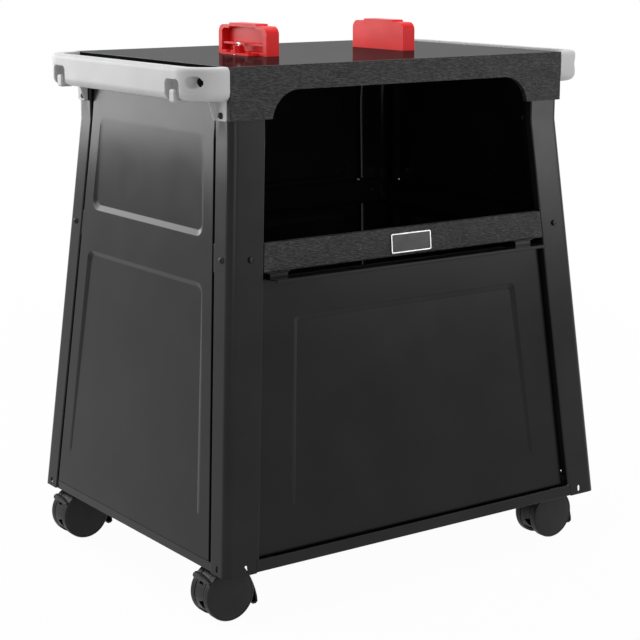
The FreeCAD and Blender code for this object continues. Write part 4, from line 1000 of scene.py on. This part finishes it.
@dataclass(frozen=True)
class ScrewSet:
    """Dome screws with a cross recess, made where the CAD has them.

    Attributes:
        node: The CAD node.
        slot: The record's slot.
        head: Radius of the head in metres.
        dome: Height of the head in metres.
        length: Length of the shank in metres.
        core: Radius of the shank in metres.
        room: Size in metres of a block that holds any head.
        arm: Length of the recess against the head's radius.
        width: Width of the recess against the head's radius.
        lift: Height of the middle of the tool for the recess, against the dome.
        pitch: Pitch of the thread in metres.
        neck: Plain length under the head in metres.
        plain: Plain length of the shank in all, in metres.
        facets: Facets around the head.
        shank_facets: Facets around the shank.
    """

    node: str
    slot: Slot
    head: float = 4.6 * MM
    dome: float = 2.4 * MM
    length: float = 9.0 * MM
    core: float = 1.75 * MM
    room: float = 20.0 * MM
    arm: float = 1.05
    width: float = 0.24
    lift: float = 1.1
    pitch: float = 0.8 * MM
    neck: float = 0.6 * MM
    plain: float = 1.4 * MM
    facets: int = 40
    shank_facets: int = 24

    def recipe(self) -> Recipe:
        """The tree of one screw.

        Returns:
            The tree, ready to be run.
        """
        made = Recipe(self.node + "_recipe", {"Head Radius": self.head, "Dome Height": self.dome,
                                              "Core Radius": self.core, "Shank Length": self.length})
        head, dome = made.given("Head Radius"), made.given("Dome Height")
        core, length = made.given("Core Radius"), made.given("Shank Length")
        sizes = {"Segments": self.facets, "Rings": self.facets // 2, "Radius": 1.0}
        ball = made.node("GeometryNodeMeshUVSphere", {}, sizes, "Mesh")
        ball = made.moved(ball, scale=made.vector(head, head, dome))
        upper = made.block(self.room, self.room, self.room, self.room / 2)
        ball = made.cut(ball, [upper], Kept.COMMON)
        arm, width = made.times(head, self.arm), made.times(head, self.width)
        lift = made.times(dome, self.lift)
        ball = made.cut(ball, [made.block(arm, width, dome, lift), made.block(width, arm, dome, lift)])
        shank = made.cylinder(core, length, made.times(length, -0.5), self.shank_facets)
        turns = (self.length - self.plain) / self.pitch
        thread = made.thread(core, self.pitch, turns, -self.neck)
        made.placed(made.node("GeometryNodeJoinGeometry", {}, {0: [ball, shank, thread]}))
        return made

    def build(self, shop: Workshop) -> None:
        """Read each screw's place from the CAD and make the set.

        Args:
            shop: The nodes and the finishes.
        """
        places = [seat_of(island, self.head) for island in islands(shop.nodes[self.node].data)]
        mesh = self.recipe().made_at(places, shop.wardrobe.made[self.slot])
        smooth_by_angle(mesh, SHARP_EDGE)
        shop.settle(self.node + "_fine", mesh, "cabinet", self.slot, self.node)
        LOG.info("%s: %d screws", self.node, len(places))


SCREWS = (ScrewSet("frame_screws", Slot.SCREW_BLACK), ScrewSet("handle_screws", Slot.SCREW_BLACK),
          ScrewSet("locator_screws", Slot.SCREW_LIGHT, head=5.4 * MM, dome=3.84 * MM, length=22.0 * MM))


def islands(mesh: bpy.types.Mesh) -> list[list[Vector]]:
    """The separate solids of a node.

    Args:
        mesh: The node's mesh of loose triangles.

    Returns:
        The points of each solid.
    """
    work = merged(mesh)
    found, seen = [], set()
    for start in work.verts:
        if start in seen:
            continue
        group, queue = [], [start]
        seen.add(start)
        while queue:
            here = queue.pop()
            group.append(here.co.copy())
            for edge in here.link_edges:
                other = edge.other_vert(here)
                if other not in seen:
                    seen.add(other)
                    queue.append(other)
        found.append(group)
    work.free()
    return found


def middle_of(points: Sequence[Vector]) -> Vector:
    """The middle of some points."""
    return sum(points, Vector()) / len(points)


def seat_of(points: Sequence[Vector], head: float, rounds: int = 12, rim: float = 0.97,
            tip: float = 1.4) -> tuple[Vector, Vector]:
    """Where a screw's head sits and which way it faces.

    Args:
        points: The screw's points.
        head: Radius of its head in metres.
        rounds: How many times the axis is made more exact.
        rim: Share of the head's radius from the axis at which its rim begins.
        tip: Radii of the head from the seat at which the tip begins.

    Returns:
        The middle of the seat and the outward direction.
    """
    middle = middle_of(points)
    axis = (max(points, key=lambda point: (point - middle).length) - middle).normalized()
    for _ in range(rounds):
        edge = [point for point in points if (point - middle).cross(axis).length > head * rim]
        if len(edge) < 3:
            break
        middle = middle_of(edge)
        end = middle_of([point for point in points if (point - middle).length > head * tip])
        axis = (middle - end).normalized()
    return middle, axis


def smooth_by_angle(mesh: bpy.types.Mesh, angle: float) -> None:
    """Shade a mesh smooth except across sharp edges.

    Args:
        mesh: The mesh.
        angle: Sharpest edge that is shaded smooth, in degrees.
    """
    for face in mesh.polygons:
        face.use_smooth = True
    mesh.set_sharp_from_angle(angle=math.radians(angle))


def turned(profile: Sequence[tuple[float, float]], centre: Vector, steps: int,
           mirror: float) -> bpy.types.Mesh:
    """A closed body turned around an axis along Y.

    Args:
        profile: Points as (radius, distance along Y), from axis to axis.
        centre: A point of the axis.
        steps: Number of facets around.
        mirror: 1 for the far side of the caster, -1 for the near one.

    Returns:
        The mesh with its faces outwards.
    """
    work = bmesh.new()
    rings = []
    for radius, along in profile:
        ring = []
        for step in range(steps if radius > SAME_POINT else 1):
            angle = 2 * math.pi * step / steps
            spot = Vector((radius * math.cos(angle), along * mirror, radius * math.sin(angle)))
            ring.append(work.verts.new(centre + spot))
        rings.append(ring)
    for first, second in zip(rings, rings[1:]):
        for step in range(steps):
            after = (step + 1) % steps
            corners = [first[step % len(first)], second[step % len(second)],
                       second[after % len(second)], first[after % len(first)]]
            unique = list(dict.fromkeys(corners))
            if len(unique) > 2:
                work.faces.new(unique)
    bmesh.ops.recalc_face_normals(work, faces=work.faces)
    mesh = bpy.data.meshes.new("turned")
    closed(work, mesh)
    return mesh


@dataclass
class TwinCaster:
    """One braked caster with two wheels.

    Lengths are in metres. A wheel's inner side looks at the middle of the caster.

    Attributes:
        place: The corner it stands in.
        inner: Inner side of a wheel from the middle of the caster.
        outer: Outer side of a wheel.
        axle: Radius of the axle.
        axle_end: End of the axle from the middle of the caster.
        play: Gap between the axle and the bore.
        hub: Radius of the hub.
        cavity: Depth of the hollow between hub and tread.
        wall: Thickness of the tread's wall.
        draft: How much thicker the wall is at the bottom of the hollow.
        corner: Length of the broken inner corner.
        bevel: Depth of that corner.
        grooves: The tread's two grooves from the inner side.
        groove: Depth and half width of a groove.
        tread_end: Where the rounded shoulder begins, from the outer side.
        shoulder: Radius of the shoulder.
        shoulder_steps: Points along it.
        shoulder_turn: Degrees between them.
        ring: Outer edge of the lip below the tread.
        lip: Points of the lip, inwards from that edge and down from the outer side.
        dish_edge: Edge of the dished face, inwards from the lip's outer edge.
        dish: Depth of the dished face.
        dish_steps: Points along it.
        facets: Facets around a wheel.
        sharp: Sharpest edge of a wheel that is shaded smooth, in degrees.
        moulded_edge: Rounding of the hood and the lever.
        plate_edge: Rounding of the plate.
    """

    place: str
    inner: float = 11.8 * MM
    outer: float = 25.0 * MM
    axle: float = 4.0 * MM
    axle_end: float = 19.5 * MM
    play: float = 0.05 * MM
    hub: float = 12.0 * MM
    cavity: float = 6.0 * MM
    wall: float = 4.0 * MM
    draft: float = 1.0 * MM
    corner: float = 0.8 * MM
    bevel: float = 0.25 * MM
    grooves: tuple[float, float] = (3.6 * MM, 6.4 * MM)
    groove: float = 0.3 * MM
    tread_end: float = 4.4 * MM
    shoulder: float = 3.2 * MM
    shoulder_steps: int = 7
    shoulder_turn: float = 13.0
    ring: float = 3.3 * MM
    lip: tuple[tuple[float, float], ...] = ((0.0, 1.3 * MM), (0.25 * MM, 1.7 * MM), (0.6 * MM, 1.65 * MM))
    dish_edge: float = 0.9 * MM
    dish: float = 1.305 * MM
    dish_steps: int = 12
    facets: int = 112
    sharp: float = 28.0
    moulded_edge: float = 0.5 * MM
    plate_edge: float = 0.3 * MM

    def profile(self, radius: float) -> list[tuple[float, float]]:
        """The wheel's outline: blind bore, cavity, tread and dished face.

        Args:
            radius: Radius of the wheel in metres.

        Returns:
            Points as (radius, distance from the caster's middle).
        """
        inner, outer = self.inner, self.outer
        bore, wall, bottom = self.axle + self.play, radius - self.wall, inner + self.cavity
        points = [(0.0, self.axle_end), (bore, self.axle_end), (bore, inner), (self.hub, inner),
                  (self.hub, bottom), (wall - self.draft, bottom), (wall, inner),
                  (radius - self.corner, inner), (radius - self.bevel, inner + self.bevel),
                  (radius, inner + self.corner)]
        for along in self.grooves:
            middle = inner + along
            points += [(radius, middle - self.groove), (radius - self.groove, middle),
                       (radius, middle + self.groove)]
        for step in range(self.shoulder_steps):
            angle = math.radians(step * self.shoulder_turn)
            points.append((radius - self.shoulder * (1 - math.cos(angle)),
                           outer - self.tread_end + self.shoulder * math.sin(angle)))
        ring = radius - self.ring
        points += [(ring - inwards, outer - down) for inwards, down in self.lip]
        start = ring - self.dish_edge
        for step in range(1, self.dish_steps + 1):
            share = step / self.dish_steps
            reach = start * (1 - share) + self.axle * share
            points.append((reach, outer - self.dish * (1 - share) ** 2))
        points.append((0.0, outer))
        return points

    def build(self, shop: Workshop) -> None:
        """Make the wheels, soften the mouldings and dress the rest.

        Args:
            shop: The nodes and the finishes.
        """
        low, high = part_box(f"caster_axle_{self.place}")
        centre = (low + high) / 2
        below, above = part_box(f"wheel_near_{self.place}")
        profile = self.profile((above.z - below.z) / 2)
        for side, sign in (("near", -1.0), ("far", 1.0)):
            mesh = turned(profile, centre, self.facets, sign)
            smooth_by_angle(mesh, self.sharp)
            body = f"{side}_wheel_{self.place}"
            shop.settle(f"{body}_fine", mesh, body, Slot.CASTER, f"wheel_{side}_{self.place}")
        hood, lever = f"caster_hood_{self.place}", f"brake_lever_{self.place}"
        plate, axle = f"caster_plate_{self.place}", f"caster_axle_{self.place}"
        shop.round_edges([hood, lever], self.moulded_edge)
        shop.round_edges([plate], self.plate_edge, 1)
        shop.dress([hood], Slot.CASTER)
        shop.dress([lever], Slot.LEVER)
        shop.dress([axle, plate], Slot.ZINC)
        LOG.info("caster %s: two wheels, hood, lever, axle, plate", self.place)


@dataclass
class PlateBolts:
    """The bolts and nuts of the caster plates.

    Attributes:
        node: The CAD node.
    """

    node: str = "caster_bolts"

    def build(self, shop: Workshop) -> None:
        """Dress the bolts."""
        shop.dress([self.node], Slot.ZINC)
        LOG.info("plate bolts: %s", self.node)


def facing(ahead: Vector) -> Euler:
    """The turn of a lamp or a camera that looks along a direction."""
    return ahead.to_track_quat("-Z", "Y").to_euler()


@dataclass(frozen=True)
class SoftBox:
    """A soft light.

    Attributes:
        name: Its name.
        place: Where it hangs, in metres.
        aim: The point that it faces, in metres.
        size: Its width and height in metres.
        power: Its power in watts.
    """

    name: str
    place: Point
    aim: Point
    size: tuple[float, float]
    power: float

    def hang(self) -> None:
        """Add the light."""
        lamp = bpy.data.lights.new(self.name, "AREA")
        lamp.shape = "RECTANGLE"
        lamp.size, lamp.size_y = self.size
        lamp.energy = self.power
        holder = added(self.name, lamp)
        holder.location = self.place
        holder.rotation_euler = facing(Vector(self.aim) - Vector(self.place))


@dataclass
class Studio:
    """Floor, world, lights and camera.

    Attributes:
        camera_place: The camera's place in metres.
        yaw: How far it is turned from +Y towards +X, in degrees.
        pitch: How far it looks down, in degrees.
        focal_pixels: Its focal length in pixels of the picture.
        picture: Width of the picture in pixels.
        sensor: Width of the camera's sensor in millimetres.
        view_end: How far the camera sees, in metres.
        ambient: Strength of the plain light from all round.
        floor_size: Width of the floor in metres.
        floor_grey: Lightness of the floor.
        floor_near: A distance from the middle in metres and the share of plain white there.
        floor_far: The same further out.
        lights: The soft lights.
    """

    camera_place: Point = (-1.5135, -2.1374, 0.9179)
    yaw: float = 35.383
    pitch: float = 12.305
    focal_pixels: float = 1720.77
    picture: float = 640.0
    sensor: float = 36.0
    view_end: float = 200.0
    ambient: float = 0.4
    floor_size: float = 80.0
    floor_grey: float = 0.75
    floor_near: tuple[float, float] = (0.6, 0.97)
    floor_far: tuple[float, float] = (2.4, 1.0)
    lights: tuple[SoftBox, ...] = (
        SoftBox("overhead", (0.0, 0.0, 1.75), (0.0, 0.0, 0.4), (1.6, 1.6), 14.0),
        SoftBox("left_back", (-1.11, 1.37, 1.095), (-0.25, 0.0, 1.095), (1.6, 1.05), 26.0),
        SoftBox("right_front", (2.3, -1.9, 1.08), (0.2, -0.2, 1.08), (1.0, 1.0), 11.0),
        SoftBox("front_right", (1.65, -2.15, 0.98), (0.1, -0.25, 0.98), (0.8, 1.2), 7.0),
        SoftBox("front_fill", (-0.8, -3.4, 1.3), (0.0, 0.0, 0.4), (2.0, 1.4), 14.0))

    def build(self) -> None:
        """Set the whole studio."""
        self._world()
        self._floor()
        for light in self.lights:
            light.hang()
        self._camera()
        bpy.context.scene.view_settings.view_transform = "Standard"
        LOG.info("studio: %d lights", len(self.lights))

    @staticmethod
    def _seen(paper: Paper) -> Wire:
        """1 for rays from the camera, from a mirror or through glass.

        Args:
            paper: The tree.

        Returns:
            The value.
        """
        camera, glossy, through = (paper.node("ShaderNodeLightPath", pick=f"Is {kind} Ray")
                                   for kind in ("Camera", "Glossy", "Transmission"))
        return camera.or_more(glossy).or_more(through)

    def _world(self) -> None:
        """White for the camera and mirrors, plain soft light for the rest."""
        world = bpy.data.worlds.new("studio")
        world.use_nodes = True
        bpy.context.scene.world = world
        paper = Paper(world.node_tree)
        plain = paper.node("ShaderNodeBackground", {}, {"Color": WHITE, "Strength": self.ambient})
        white = paper.node("ShaderNodeBackground", {}, {"Color": WHITE, "Strength": 1.0})
        mixed = paper.node("ShaderNodeMixShader", {}, {0: self._seen(paper), 1: plain, 2: white})
        paper.node("ShaderNodeOutputWorld", {}, {"Surface": mixed})

    def _floor(self) -> None:
        """A plain pale floor that keeps the cart's shadow."""
        half = self.floor_size / 2
        mesh = bpy.data.meshes.new("floor")
        corners = [(-half, -half, 0), (half, -half, 0), (half, half, 0), (-half, half, 0)]
        mesh.from_pydata(corners, [], [range(len(corners))])
        floor = added("floor", mesh)
        material = bpy.data.materials.new("pale_floor")
        material.use_nodes = True
        paper = Paper(material.node_tree)
        pale = (self.floor_grey, self.floor_grey, self.floor_grey, 1.0)
        matt = paper.node("ShaderNodeBsdfDiffuse", {}, {"Color": pale})
        white = paper.node("ShaderNodeEmission", {}, {"Color": WHITE, "Strength": 1.0})
        spot = paper.node("ShaderNodeTexCoord", pick="Object")
        away = paper.node("ShaderNodeVectorMath", {"operation": "LENGTH"}, {0: spot}, pick="Value")
        (near, low), (far, high) = self.floor_near, self.floor_far
        share = self._seen(paper) * away.spread(near, far, low, high)
        paper.finish(paper.node("ShaderNodeMixShader", {}, {0: share, 1: matt, 2: white}))
        mesh.materials.append(material)

    def _camera(self) -> None:
        """The camera at the photograph's place and angle."""
        lens = bpy.data.cameras.new("camera")
        lens.sensor_width = self.sensor
        lens.lens = self.focal_pixels / self.picture * self.sensor
        lens.clip_end = self.view_end
        yaw, pitch = math.radians(self.yaw), math.radians(self.pitch)
        level = math.cos(pitch)
        ahead = Vector((math.sin(yaw) * level, math.cos(yaw) * level, -math.sin(pitch)))
        holder = added("camera", lens)
        holder.location = self.camera_place
        holder.rotation_euler = facing(ahead)
        bpy.context.scene.camera = holder


def main() -> None:
    """Build the looks in order."""
    logging.basicConfig(level=logging.INFO, format="%(name)s: %(message)s")
    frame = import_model()
    shop = Workshop(frame["nodes"], Wardrobe(FINISHES))
    Studio().build()
    sheets = (SheetBody(), DropDoor(), BlankBadge(), MouldedParts())
    casters = tuple(TwinCaster(corner) for corner in CORNERS)
    for part in (*sheets, *SCREWS, PlateBolts(), *casters):
        part.build(shop)


if __name__ == "__main__":
    main()
